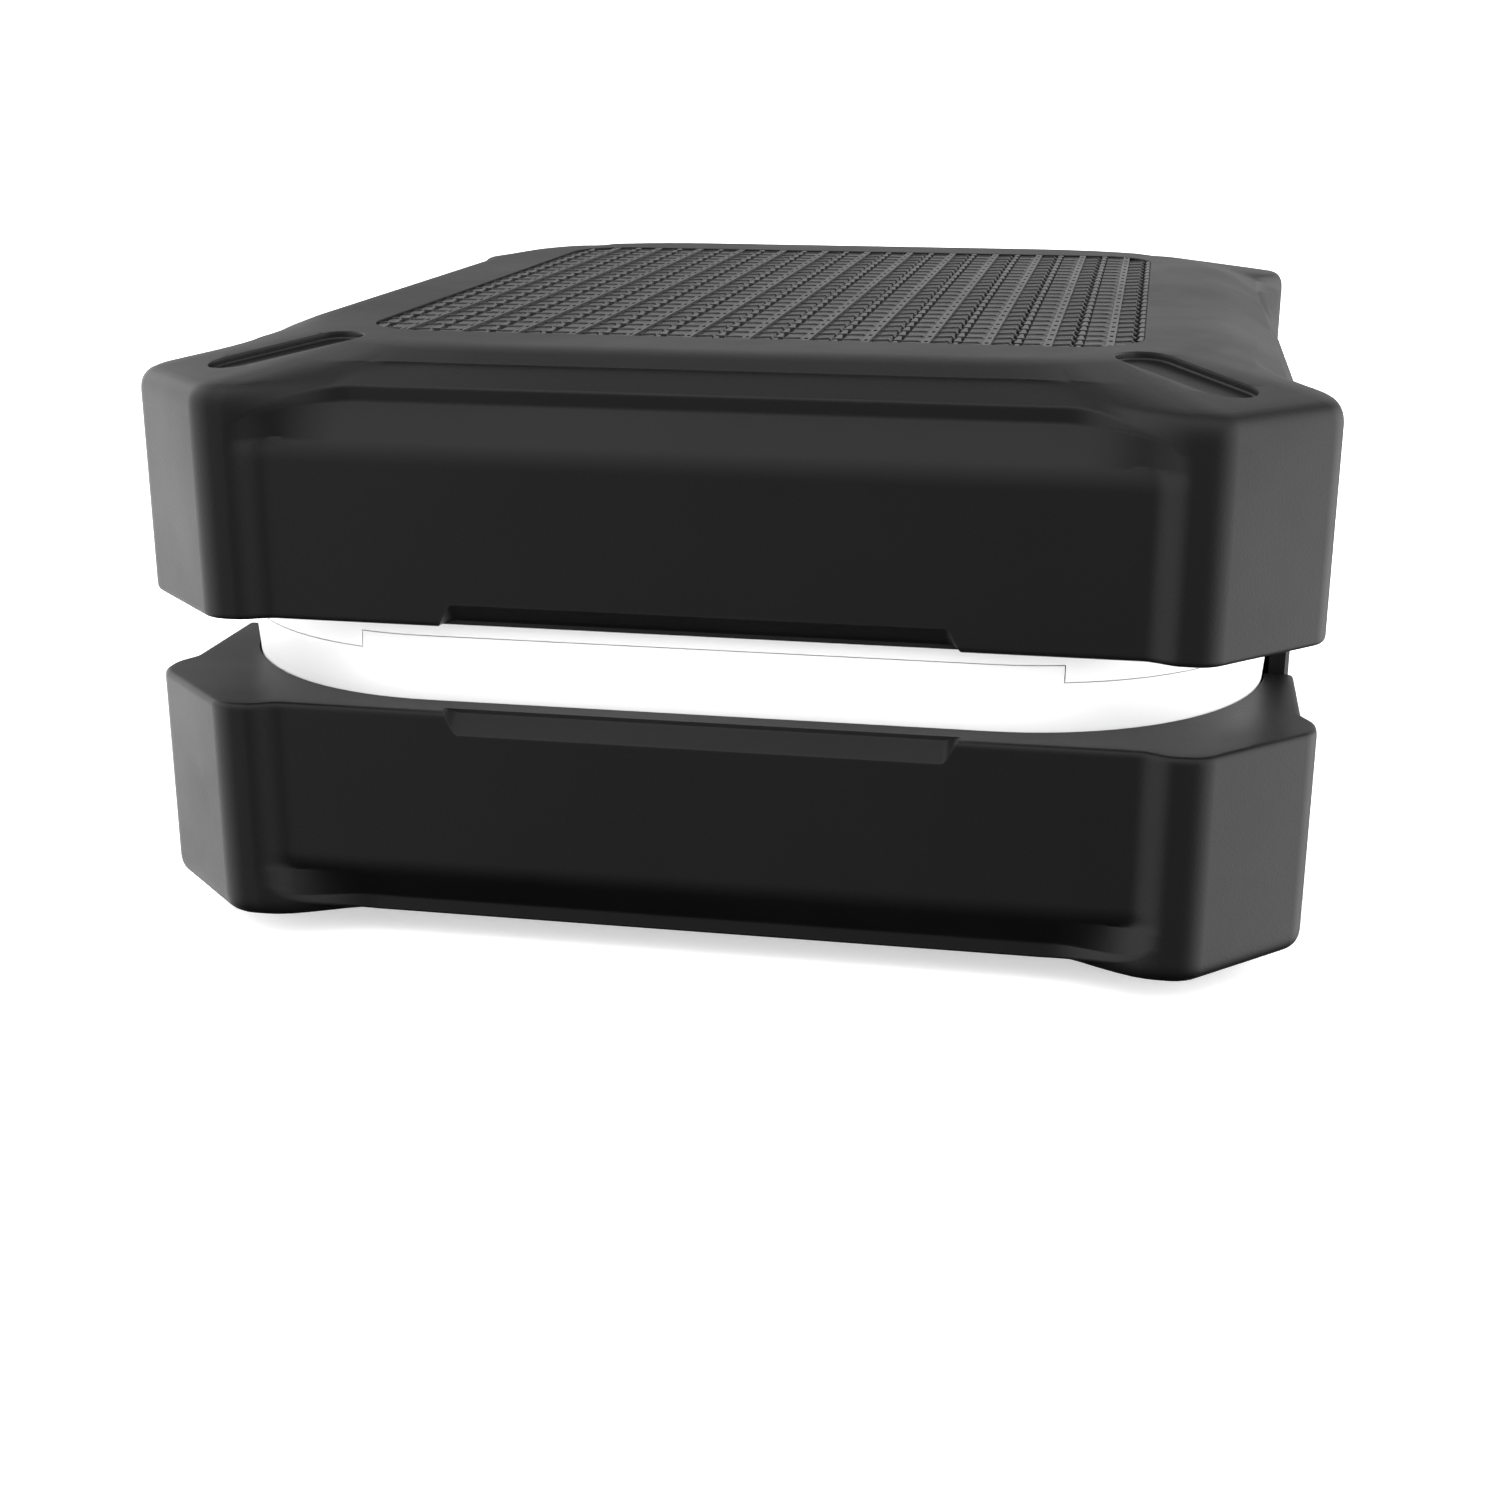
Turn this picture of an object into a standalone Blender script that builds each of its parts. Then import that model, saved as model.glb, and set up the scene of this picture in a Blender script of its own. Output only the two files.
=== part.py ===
"""A mesh wifi node in its rugged two-part case.

A black case of two mirrored shells grips a white node and leaves a band of it
bare between them. Metres, +Z up. The origin is on the surface that the case
stands on, under its middle. -Y is the front, and the node's sockets face -X.
"""

from collections import namedtuple
from math import cos, hypot, pi, radians, sin, tan

import bmesh
import bpy
from mathutils import Matrix, Vector

MM = 0.001
GAP = 0.3 * MM              # between pieces that touch
SEGMENTS = 12               # sides of a small round piece

# --- the node, a white rounded block ---------------------------------------
NODE_WIDTH = 184 * MM       # across, at its fullest
NODE_DEPTH = 222 * MM       # front to back, at its fullest
NODE_HEIGHT = 90 * MM
NODE_CORNER = 45 * MM       # corner radius in plan
NODE_EDGE = 12 * MM         # rounding of the top and bottom edges
NODE_DRAFT = radians(4)     # the sides lean in from the middle
NODE_WALL = 2.2 * MM
SEAM_RISE = 1.0 * MM        # the seam lies this far above the node's middle
TAB_WIDTH = 117 * MM        # the seam steps up across the front
TAB_HEIGHT = 2.8 * MM
TAB_DEPTH = 12 * MM

# --- the case ----------------------------------------------------------------
GRIP = 0.4 * MM             # between the node and the cavity's wall
FLOOR = 4.6 * MM            # floor of the lower shell under the node
FRONT_WALL = 6.5 * MM       # front and back wall at the rim
SIDE_WALL = 5.0 * MM        # left and right wall at the rim
SHELL_GAP = 14.4 * MM       # the band of the node left bare
RECESS = 2.1 * MM           # the walls stand back between the corner posts
RIM_FILLET = 1.2 * MM
CHAMFER = 18.0 * MM         # leg of the chamfer across each corner post
POST_FILLET = 6.0 * MM      # rounding of the chamfer's upright edges
POST_TOP = 3.5 * MM         # rounding of a post's top edge
POST_DROP = 5.3 * MM        # the posts stop short of the plateau
RECESS_START = 22.4 * MM    # from the corner, where a wall starts to step back
RECESS_END = 28.5 * MM
RECESS_STEPS = 3
SCOOP_END = 42.0 * MM       # from the corner, where the scoop is full size
SCOOP_STEPS = 2
SCOOP_FOOT = 14.6 * MM      # the scoop's lower edge, below the plateau
SCOOP_CREASE = 7.4 * MM     # its crease, below the plateau
SCOOP_INSET = 7.6 * MM      # its crease, in from the posts' face
SCOOP_SOFTEN = 0.9 * MM     # half height of the rounding at its lower edge
LIP_HEIGHT = 1.9 * MM       # the steep wall above the crease
LIP_ROUND = 1.0 * MM
CREASE_END = 30.0 * MM      # from the rim, where the crease meets a corner post
FRONT_PLATEAU = 22.4 * MM   # the plateau's edge, in from the posts' face
SIDE_PLATEAU = 17.4 * MM
PLATEAU_CORNER = 42.0 * MM

# --- inlaid panels, corner slots, reliefs and side windows --------------------
PANEL_WIDTH = 136.0 * MM
PANEL_DEPTH = 161.0 * MM
PANEL_CORNER = 13.0 * MM
PANEL_POCKET = 1.5 * MM
PANEL_SUNK = 0.3 * MM       # the top panel lies this far below the plateau
PAD_PROUD = 0.6 * MM        # the base pad stands out below the plateau
SLOT_LENGTH = 28.5 * MM
SLOT_WIDTH = 10.0 * MM
SLOT_SINK = 1.3 * MM
SLOT_MARGIN = 8.5 * MM      # from a slot's end to the chamfer
RELIEF_WIDTH = 80.0 * MM    # finger relief in the middle of the front and back
RELIEF_HEIGHT = 3.9 * MM    # at the wall's face
RELIEF_DEPTH = 2.5 * MM     # at the rim
RELIEF_STEP = 0.7 * MM      # its upright edge, from which it slopes out to the wall
RELIEF_FLARE = 2.5 * MM
WINDOW_MARGIN = 51.0 * MM   # from the front and back to the side windows
WINDOW_SINK = 12.0 * MM     # how far a window is cut into each shell
BRIDGE_CLEAR = 0.5 * MM     # between the bridge and the node
BRIDGE_SINK = 0.95 * MM     # the bridge's outer face, in from the wall's
BRIDGE_BEVEL = 0.7 * MM
TONGUE_THICK = 1.5 * MM
TONGUE_DEPTH = 8.0 * MM
TONGUE_MARGIN = 8.0 * MM    # from a tongue's end to the bridge's end

# --- the node's underside and its screws ---------------------------------------
FOOT_THICK = 1.2 * MM
FOOT_PROUD = 0.3 * MM
FOOT_WIDTH = 12.0 * MM
FOOT_LENGTH = 110.0 * MM
FOOT_OFFSET = 78.0 * MM
SCREW = 3.0 * MM            # diameter of a screw's shank
SCREW_HEAD = 5.8 * MM
SCREW_HEAD_HEIGHT = 2.0 * MM
SCREW_SUNK = 0.4 * MM
CASE_SCREW_X, CASE_SCREW_Y = 68.0 * MM, 60.0 * MM
CASE_SCREW_LENGTH = 14.0 * MM
SCREW_PAD = 7.0 * MM        # thickness of the floor round a case screw
BOSS = 8.0 * MM
BOARD_SCREW_X, BOARD_SCREW_Y = 64.0 * MM, 80.0 * MM
BOARD_SCREW_LENGTH = 8.0 * MM

# --- the board and what stands on it ---------------------------------------------
BOARD_THICK = 1.6 * MM
BOARD_TOP = 28.2 * MM       # above the node's bottom
BOARD_MARGIN = 2.6 * MM
SOCKET_INSET = 0.5 * MM     # a socket's face, in from the node's side
JACK_LENGTH, JACK_WIDTH, JACK_HEIGHT = 21.5 * MM, 16.0 * MM, 13.4 * MM
JACK_HOLE_DEPTH, JACK_HOLE_WIDTH, JACK_HOLE_HEIGHT = 12.0 * MM, 11.8 * MM, 8.4 * MM
JACK_PLACES = (-22.0 * MM, 0.0 * MM)
INLET_LENGTH, INLET_WIDTH, INLET_HEIGHT = 7.4 * MM, 9.0 * MM, 3.3 * MM
INLET_HOLE_DEPTH, INLET_RIM = 5.6 * MM, 0.4 * MM
INLET_PLACE = 24.0 * MM
BUTTON_PLACE = -55.0 * MM
BUTTON = 4.0 * MM           # diameter of the reset button
BUTTON_FLANGE = 6.4 * MM
BUTTON_FLANGE_THICK = 1.0 * MM
BUTTON_BACK = 0.6 * MM      # from the leaning wall to the flange, at its middle
BUTTON_STEM = 2.0 * MM
BUTTON_TRAVEL = 1.0 * MM
BUTTON_PROUD = 0.4 * MM
SWITCH_DEPTH, SWITCH_SIDE = 4.0 * MM, 6.0 * MM
PLUNGER = 3.0 * MM
PLUNGER_LENGTH = 1.0 * MM
LENS_PLACE = -45.0 * MM
LENS = 3.0 * MM
LENS_LENGTH = 6.0 * MM
LED_DEPTH, LED_SIDE = 1.6 * MM, 3.0 * MM
CHIP_SIDE, CHIP_THICK = 30.0 * MM, 2.4 * MM
THERMAL_PAD_MARGIN, THERMAL_PAD_THICK = 1.0 * MM, 1.0 * MM
SINK_X = 10.0 * MM          # middle of the processor and its heat sink
SINK_WIDTH, SINK_DEPTH, SINK_THICK = 84.0 * MM, 104.0 * MM, 4.0 * MM
SINK_LEG = 6.0 * MM
FIN_COUNT = 9
FIN_THICK = 2.0 * MM
FIN_HEIGHT = 26.0 * MM
CAN_WIDTH, CAN_DEPTH, CAN_HEIGHT = 44.0 * MM, 26.0 * MM, 5.0 * MM
CAN_WALL = 0.8 * MM
CAN_GAP = 5.0 * MM          # between the heat sink and a shield can
ANTENNA_WIDTH, ANTENNA_THICK, ANTENNA_HEIGHT = 36.0 * MM, 0.8 * MM, 20.0 * MM
ANTENNA_FOOT = 6.0 * MM
ANTENNA_EDGE = 7.0 * MM     # from the board's edge
SOCKET_PANEL_MARGIN = 1.5 * MM  # past the ends of the left window
SOCKET_PANEL_DROP = 15.0 * MM   # from the board's top to the panel's lower edge

# --- worked out from the sizes above --------------------------------------------
JACK = Vector((JACK_LENGTH, JACK_WIDTH, JACK_HEIGHT))
JACK_HOLE = Vector((JACK_HOLE_DEPTH, JACK_HOLE_WIDTH, JACK_HOLE_HEIGHT))
INLET = Vector((INLET_LENGTH, INLET_WIDTH, INLET_HEIGHT))
INLET_HOLE = Vector((INLET_HOLE_DEPTH, INLET_WIDTH - 2 * INLET_RIM,
                     INLET_HEIGHT - 2 * INLET_RIM))
SWITCH = Vector((SWITCH_DEPTH, SWITCH_SIDE, SWITCH_SIDE))
LED = Vector((LED_DEPTH, LED_SIDE, LED_SIDE))
CHIP = Vector((CHIP_SIDE, CHIP_SIDE, CHIP_THICK))
THERMAL_PAD_SIDE = CHIP_SIDE - 2 * THERMAL_PAD_MARGIN
THERMAL_PAD = Vector((THERMAL_PAD_SIDE, THERMAL_PAD_SIDE, THERMAL_PAD_THICK))
CAN = Vector((CAN_WIDTH, CAN_DEPTH, CAN_HEIGHT))
CAN_PLACE = (SINK_DEPTH + CAN_DEPTH) / 2 + CAN_GAP
NODE_X, NODE_Y, NODE_Z = NODE_WIDTH / 2, NODE_DEPTH / 2, NODE_HEIGHT / 2
NODE_STRAIGHT = NODE_Z - NODE_EDGE
RIM_INSET = SHELL_GAP / 2 * tan(NODE_DRAFT) - GRIP
WALL_X = NODE_X - RIM_INSET + SIDE_WALL
WALL_Y = NODE_Y - RIM_INSET + FRONT_WALL
HALF_X, HALF_Y = WALL_X + RECESS, WALL_Y + RECESS
NODE_BOTTOM = PAD_PROUD + FLOOR + GAP + FOOT_PROUD
NODE_TOP = NODE_BOTTOM + NODE_HEIGHT
NODE_MIDDLE = NODE_BOTTOM + NODE_Z
LOWER_RIM = NODE_MIDDLE - SHELL_GAP / 2
UPPER_RIM = NODE_MIDDLE + SHELL_GAP / 2
SHELL_HEIGHT = LOWER_RIM - PAD_PROUD
POST_Z = SHELL_HEIGHT - POST_DROP
CREASE_Z = SHELL_HEIGHT - SCOOP_CREASE
FOOT_Z = SHELL_HEIGHT - SCOOP_FOOT
PLATEAU = (HALF_X - SIDE_PLATEAU, HALF_Y - FRONT_PLATEAU, PLATEAU_CORNER)
SEAM = NODE_MIDDLE + SEAM_RISE
BOARD_Z = NODE_BOTTOM + BOARD_TOP
WINDOW_Y = HALF_Y - WINDOW_MARGIN
SIGNS = ((-1, -1), (1, -1), (1, 1), (-1, 1))
DIAGONAL = cos(pi / 4)
HALF_TURN = 1 - DIAGONAL    # how far in a rounding's middle stands, in radii
EDGE_TURNS = [pi / 6 * i for i in range(4)]
HOLE = SCREW + 2 * GAP


# --- making meshes ------------------------------------------------------------------
def principled(name, colour, roughness, metallic=0.0):
    material = bpy.data.materials.new(name)
    material.use_nodes = True
    shader = material.node_tree.nodes["Principled BSDF"]
    shader.inputs["Base Color"].default_value = (*colour, 1)
    shader.inputs["Roughness"].default_value = roughness
    shader.inputs["Metallic"].default_value = metallic
    material.diffuse_color = (*colour, 1)
    return material


def add_object(name, bm, material=None):
    """A mesh object from a bmesh, with its faces pointing out. No material: a cutter."""
    bmesh.ops.recalc_face_normals(bm, faces=bm.faces)
    mesh = bpy.data.meshes.new(name)
    bm.to_mesh(mesh)
    bm.free()
    mesh.shade_smooth()
    mesh.set_sharp_from_angle(angle=radians(40))
    obj = bpy.data.objects.new(name, mesh)
    bpy.context.scene.collection.objects.link(obj)
    if material:
        mesh.materials.append(material)
    else:
        obj.hide_render = True
        obj.display_type = "WIRE"
    return obj


def boolean(obj, tool, operation="DIFFERENCE"):
    modifier = obj.modifiers.new(tool.name, "BOOLEAN")
    modifier.object = tool
    modifier.operation = operation
    modifier.solver = "EXACT"


def set_origin(obj, place):
    """Moves an object's origin without moving its shape."""
    obj.data.transform(Matrix.Translation(-Vector(place)))
    obj.location = place


def add_box(bm, low, high):
    """A box between two opposite corners."""
    low, high = Vector(low), Vector(high)
    matrix = Matrix.Translation((high + low) / 2) @ Matrix.Diagonal((*(high - low), 1))
    bmesh.ops.create_cube(bm, size=1, matrix=matrix)


def add_block(bm, size, x, y, z):
    """A box of a size, centred on x and y and standing on z."""
    add_box(bm, (x - size[0] / 2, y - size[1] / 2, z),
            (x + size[0] / 2, y + size[1] / 2, z + size[2]))


def add_rod(bm, start, direction, length, diameter, segments=SEGMENTS):
    """A round rod from start along direction."""
    direction = Vector(direction)
    turn = Vector((0, 0, 1)).rotation_difference(direction).to_matrix().to_4x4()
    matrix = Matrix.Translation(Vector(start) + direction * length / 2) @ turn
    bmesh.ops.create_cone(
        bm, cap_ends=True, segments=segments, radius1=diameter / 2,
        radius2=diameter / 2, depth=length, matrix=matrix,
    )


def add_skin(bm, rings):
    """A closed solid through a stack of rings of points, capped at both ends."""
    loops = [[bm.verts.new(point) for point in ring] for ring in rings]
    for low, high in zip(loops, loops[1:]):
        for i, vert in enumerate(low):
            j = (i + 1) % len(low)
            bm.faces.new((vert, low[j], high[j], high[i]))
    bm.faces.new(reversed(loops[0]))
    bm.faces.new(loops[-1])


def add_prism(bm, outline, low, high):
    """An upright prism on a plan outline."""
    add_skin(bm, [[(x, y, z) for x, y in outline] for z in (low, high)])


def circle(diameter, segments=SEGMENTS):
    angles = [2 * pi * i / segments for i in range(segments)]
    return [(diameter / 2 * cos(a), diameter / 2 * sin(a)) for a in angles]


def rounded_rectangle(half_x, half_y, radius, steps=6):
    quarter = [
        (half_x - radius + radius * cos(a), half_y - radius + radius * sin(a))
        for a in (pi / 2 * i / steps for i in range(steps + 1))
    ]
    turns = ((1, 1, 1), (-1, 1, -1), (-1, -1, 1), (1, -1, -1))
    return [(x * i, y * j) for i, j, step in turns for x, y in quarter[::step]]


def onto_rectangle(x, y, half_x, half_y, radius):
    """The nearest point to (x, y) on a rounded rectangle that lies inside it."""
    core_x, core_y = half_x - radius, half_y - radius
    mid_x = min(max(x, -core_x), core_x)
    mid_y = min(max(y, -core_y), core_y)
    share = radius / hypot(x - mid_x, y - mid_y)
    return mid_x + (x - mid_x) * share, mid_y + (y - mid_y) * share


def mix(a, b, share):
    return a + (b - a) * share


def smooth_step(t):
    t = min(max(t, 0.0), 1.0)
    return t * t * (3 - 2 * t)


# --- the case's outline in plan --------------------------------------------------------
Column = namedtuple("Column", "x y out_x out_y along")


def side_steps():
    """Distances from a corner at which the columns of a side stand."""
    recess, scoop = RECESS_END - RECESS_START, SCOOP_END - RECESS_END
    return (
        [RECESS_START + recess * i / RECESS_STEPS for i in range(RECESS_STEPS + 1)]
        + [RECESS_END + scoop * (i + 1) / SCOOP_STEPS for i in range(SCOOP_STEPS)]
        + [PLATEAU_CORNER + (SIDE_PLATEAU + FRONT_PLATEAU) / 2]
    )


def post_edge(x, y, angle, steps=2):
    """Columns round one upright edge of a post, where the outline turns by 45 degrees."""
    tangent = POST_FILLET * tan(pi / 8)
    centre_x = x + tangent * sin(angle) - POST_FILLET * cos(angle)
    centre_y = y - tangent * cos(angle) - POST_FILLET * sin(angle)
    angles = [angle + pi / 4 * i / steps for i in range(steps + 1)]
    return [
        Column(centre_x + POST_FILLET * cos(a), centre_y + POST_FILLET * sin(a),
               cos(a), sin(a), 0.0)
        for a in angles
    ]


def case_columns():
    """The columns round the whole outline, from +X, counter-clockwise."""
    steps = side_steps()
    quarter = [Column(HALF_X, HALF_Y - s, 1, 0, s) for s in [HALF_Y] + steps[::-1]]
    quarter += post_edge(HALF_X, HALF_Y - CHAMFER, 0)
    quarter += post_edge(HALF_X - CHAMFER, HALF_Y, pi / 4)
    quarter += [Column(HALF_X - s, HALF_Y, 0, 1, s) for s in steps + [HALF_X]]
    half = quarter + [Column(-c.x, c.y, -c.out_x, c.out_y, c.along)
                      for c in quarter[-2::-1]]
    return half + [Column(-c.x, -c.y, -c.out_x, -c.out_y, c.along)
                   for c in half[1:-1]]


COLUMNS = case_columns()


def wall_ring(post_inset, post_z, side_inset, side_z, reach):
    """A ring of (x, y, z) that blends from the posts' profile to the sides' by reach."""
    ring = []
    for c in COLUMNS:
        share = smooth_step((c.along - RECESS_START) / (reach - RECESS_START))
        inset = mix(post_inset, side_inset, share)
        z = mix(post_z, side_z, share)
        ring.append((c.x - c.out_x * inset, c.y - c.out_y * inset, z))
    return ring


def top_ring(start, share):
    """A ring part of the way from the start ring up to the plateau."""
    ring = []
    for c, (x, y, z) in zip(COLUMNS, start):
        edge_x, edge_y = onto_rectangle(c.x, c.y, *PLATEAU)
        ring.append((mix(x, edge_x, share), mix(y, edge_y, share),
                     mix(z, SHELL_HEIGHT, share)))
    return ring


def node_inset(turn, radius=NODE_EDGE):
    """How far the node's edge rounding stands in, turn radians up the rounding."""
    return NODE_STRAIGHT * tan(NODE_DRAFT) + NODE_EDGE - radius * cos(turn)


def cavity_rings(top_clear):
    """The cavity that grips the node, from its end to past the shell's rim."""
    past = SHELL_GAP / 2 - RECESS
    levels = [(node_inset(turn), NODE_STRAIGHT + (NODE_EDGE + top_clear) * sin(turn))
              for turn in EDGE_TURNS[::-1]]
    levels.append((past * tan(NODE_DRAFT), past))
    rings = []
    for inset, height in levels:
        wide = GRIP - inset
        plan = rounded_rectangle(NODE_X + wide, NODE_Y + wide, NODE_CORNER + wide)
        rings.append([(x, y, height - SHELL_GAP / 2) for x, y in plan])
    return rings


def shell_rings():
    """One shell's rings from the plateau to the rim. Heights are above the rim."""
    lip_z = CREASE_Z + LIP_HEIGHT
    lean = (SCOOP_INSET - RECESS) / (SCOOP_FOOT - SCOOP_CREASE)
    post_top = wall_ring(POST_TOP, POST_Z, SCOOP_INSET + LIP_ROUND, lip_z + LIP_ROUND,
                         SCOOP_END)
    return [
        top_ring(post_top, 1.0),
        top_ring(post_top, 0.5),
        post_top,
        wall_ring(POST_TOP * HALF_TURN, POST_Z - POST_TOP * HALF_TURN,
                  SCOOP_INSET + LIP_ROUND * HALF_TURN, lip_z, SCOOP_END),
        wall_ring(0, POST_Z - POST_TOP, SCOOP_INSET, CREASE_Z + LIP_ROUND, SCOOP_END),
        wall_ring(0, CREASE_END, SCOOP_INSET, CREASE_Z, SCOOP_END),
        wall_ring(0, FOOT_Z + SCOOP_SOFTEN, RECESS + SCOOP_SOFTEN * lean,
                  FOOT_Z + SCOOP_SOFTEN, RECESS_END),
        wall_ring(0, FOOT_Z - SCOOP_SOFTEN, RECESS, FOOT_Z - SCOOP_SOFTEN, RECESS_END),
        wall_ring(0, RIM_FILLET, RECESS, RIM_FILLET, RECESS_END),
        wall_ring(RIM_FILLET, 0, RECESS + RIM_FILLET, 0, RECESS_END),
    ]


def top_height(x, y):
    """Height of a shell's top above its rim, on the plateau or on a corner's slope."""
    edge_x, edge_y = onto_rectangle(x, y, *PLATEAU)
    core = PLATEAU[0] - PLATEAU[2], PLATEAU[1] - PLATEAU[2]
    if hypot(max(abs(x) - core[0], 0), max(abs(y) - core[1], 0)) <= PLATEAU[2]:
        return SHELL_HEIGHT
    middle = CHAMFER / 2 + POST_TOP * DIAGONAL
    corner = HALF_X - middle, HALF_Y - middle
    run = hypot(*(a - b for a, b in zip(corner, onto_rectangle(*corner, *PLATEAU))))
    return SHELL_HEIGHT - POST_DROP * hypot(x - edge_x, y - edge_y) / run


def slot_outline(sign_x, sign_y):
    """A stadium in plan, along the diagonal of one corner post."""
    outer = CHAMFER / 2 + (SLOT_MARGIN + SLOT_LENGTH / 2) * DIAGONAL
    centre_x, centre_y = HALF_X - outer, HALF_Y - outer
    reach, radius = (SLOT_LENGTH - SLOT_WIDTH) / 2 * DIAGONAL, SLOT_WIDTH / 2
    outline = []
    for i in range(2 * 5):
        end = 1 if i < 5 else -1
        angle = pi / 4 + pi / 4 * (i % 5) - pi / 2 + (0 if end > 0 else pi)
        outline.append((sign_x * (centre_x + end * reach + radius * cos(angle)),
                        sign_y * (centre_y + end * reach + radius * sin(angle))))
    return outline


def shell(name, rim, up, top_clear, material):
    """One shell of the case. up is 1 for the upper shell and -1 for the lower one."""
    def turned(rings):
        return [[(x, y, rim + up * z) for x, y, z in ring] for ring in rings]

    bm = bmesh.new()
    add_skin(bm, turned(shell_rings()))
    obj = add_object(name, bm, material)
    bm = bmesh.new()
    add_skin(bm, turned(cavity_rings(top_clear)))
    boolean(obj, add_object(name + "_cavity", bm))

    bm = bmesh.new()
    panel = rounded_rectangle(PANEL_WIDTH / 2, PANEL_DEPTH / 2, PANEL_CORNER, 4)
    above = SHELL_HEIGHT + PANEL_POCKET
    add_skin(bm, turned([[(x, y, z) for x, y in panel]
                         for z in (SHELL_HEIGHT - PANEL_POCKET, above)]))
    for signs in SIGNS:
        slot = slot_outline(*signs)
        floor = [(x, y, top_height(x, y) - SLOT_SINK) for x, y in slot]
        add_skin(bm, turned([floor, [(x, y, above) for x, y in slot]]))
    boolean(obj, add_object(name + "_top_cutter", bm))

    bm = bmesh.new()
    wide, narrow = RELIEF_WIDTH / 2 + RELIEF_FLARE, RELIEF_WIDTH / 2
    slope = (RELIEF_HEIGHT - RELIEF_STEP) / RELIEF_DEPTH
    levels = ((WALL_Y - RELIEF_DEPTH, RELIEF_STEP),
              (HALF_Y, RELIEF_HEIGHT + RECESS * slope))
    for end in (-1, 1):
        add_skin(bm, turned([
            [(-wide, end * y, -RECESS), (wide, end * y, -RECESS), (wide, end * y, 0),
             (narrow, end * y, top), (-narrow, end * y, top), (-wide, end * y, 0)]
            for y, top in levels]))
    for side in (-1, 1):
        ends = [(side * (WALL_X - 2 * SIDE_WALL), -WINDOW_Y), (side * HALF_X, WINDOW_Y)]
        corners = [(ends[i][0], ends[j][1]) for i, j in ((0, 0), (1, 0), (1, 1), (0, 1))]
        add_skin(bm, turned([[(x, y, z) for x, y in corners]
                             for z in (-RECESS, WINDOW_SINK)]))
    boolean(obj, add_object(name + "_rim_cutter", bm))

    bm = bmesh.new()
    middle = tongue_middle()
    half = TONGUE_THICK / 2 + GAP
    reach = WINDOW_Y - TONGUE_MARGIN + GAP
    corners = [(middle - half, -reach), (middle + half, -reach),
               (middle + half, reach), (middle - half, reach)]
    add_skin(bm, turned([[(x, y, z) for x, y in corners]
                         for z in (WINDOW_SINK - RECESS,
                                   WINDOW_SINK + TONGUE_DEPTH + GAP)]))
    boolean(obj, add_object(name + "_groove_cutter", bm))
    return obj


def tongue_middle():
    """Where the bridge's tongues stand, in the middle of the wall's thickness."""
    return WALL_X - SIDE_WALL / 2


def side_bridge(material):
    """The plate that fills the right window and lines the two shells up."""
    inner, outer = NODE_X + BRIDGE_CLEAR, WALL_X - BRIDGE_SINK
    end = WINDOW_Y - GAP
    plan = [(inner, -end), (outer - BRIDGE_BEVEL, -end), (outer, -end + BRIDGE_BEVEL),
            (outer, end - BRIDGE_BEVEL), (outer - BRIDGE_BEVEL, end), (inner, end)]
    low = LOWER_RIM - WINDOW_SINK + GAP
    high = UPPER_RIM + WINDOW_SINK - GAP
    bm = bmesh.new()
    add_prism(bm, plan, low, high)
    obj = add_object("side_bridge", bm, material)
    bm = bmesh.new()
    half, reach = TONGUE_THICK / 2, WINDOW_Y - TONGUE_MARGIN
    add_box(bm, (tongue_middle() - half, -reach, low - TONGUE_DEPTH),
            (tongue_middle() + half, reach, high + TONGUE_DEPTH))
    boolean(obj, add_object("side_bridge_tongues", bm), "UNION")
    return obj


def inlay(name, low, high, material):
    """A flat panel that fills a shell's pocket."""
    bm = bmesh.new()
    outline = rounded_rectangle(PANEL_WIDTH / 2 - GAP, PANEL_DEPTH / 2 - GAP,
                                PANEL_CORNER - GAP, 4)
    add_prism(bm, outline, low, high)
    return add_object(name, bm, material)


# --- the node's housing ---------------------------------------------------------------
def housing(name, up, seam, material):
    """One half of the housing. seam is its edge's height above the node's middle."""
    def ring(inset, height):
        sizes = (NODE_X - inset, NODE_Y - inset, NODE_CORNER - inset)
        z = NODE_MIDDLE + height
        return [(x, y, z) for x, y in rounded_rectangle(*sizes)]

    inner_edge = NODE_EDGE - NODE_WALL
    outside = [ring(node_inset(turn), up * (NODE_STRAIGHT + NODE_EDGE * sin(turn)))
               for turn in EDGE_TURNS[::-1]]
    inside = [ring(node_inset(turn, inner_edge),
                   up * (NODE_STRAIGHT + inner_edge * sin(turn))) for turn in EDGE_TURNS]
    lean = abs(seam) * tan(NODE_DRAFT)
    crossing = [ring(0, 0)] if seam * up < 0 else []
    crossing_inside = [ring(NODE_WALL, 0)] if seam * up < 0 else []
    rings = outside + crossing + [ring(lean, seam), ring(lean + NODE_WALL, seam)]
    bm = bmesh.new()
    add_skin(bm, rings + crossing_inside + inside)
    return add_object(name, bm, material)


def wall_at(z):
    """The node's left side at a height: the x of its outside and of its inside."""
    outside = -(NODE_X - abs(z - NODE_MIDDLE) * tan(NODE_DRAFT))
    return outside, outside + NODE_WALL


def case_screw_places():
    return [(i * CASE_SCREW_X, j * CASE_SCREW_Y) for i, j in SIGNS]


def board_screw_places():
    return [(i * BOARD_SCREW_X, j * BOARD_SCREW_Y) for i, j in SIGNS]


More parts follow.
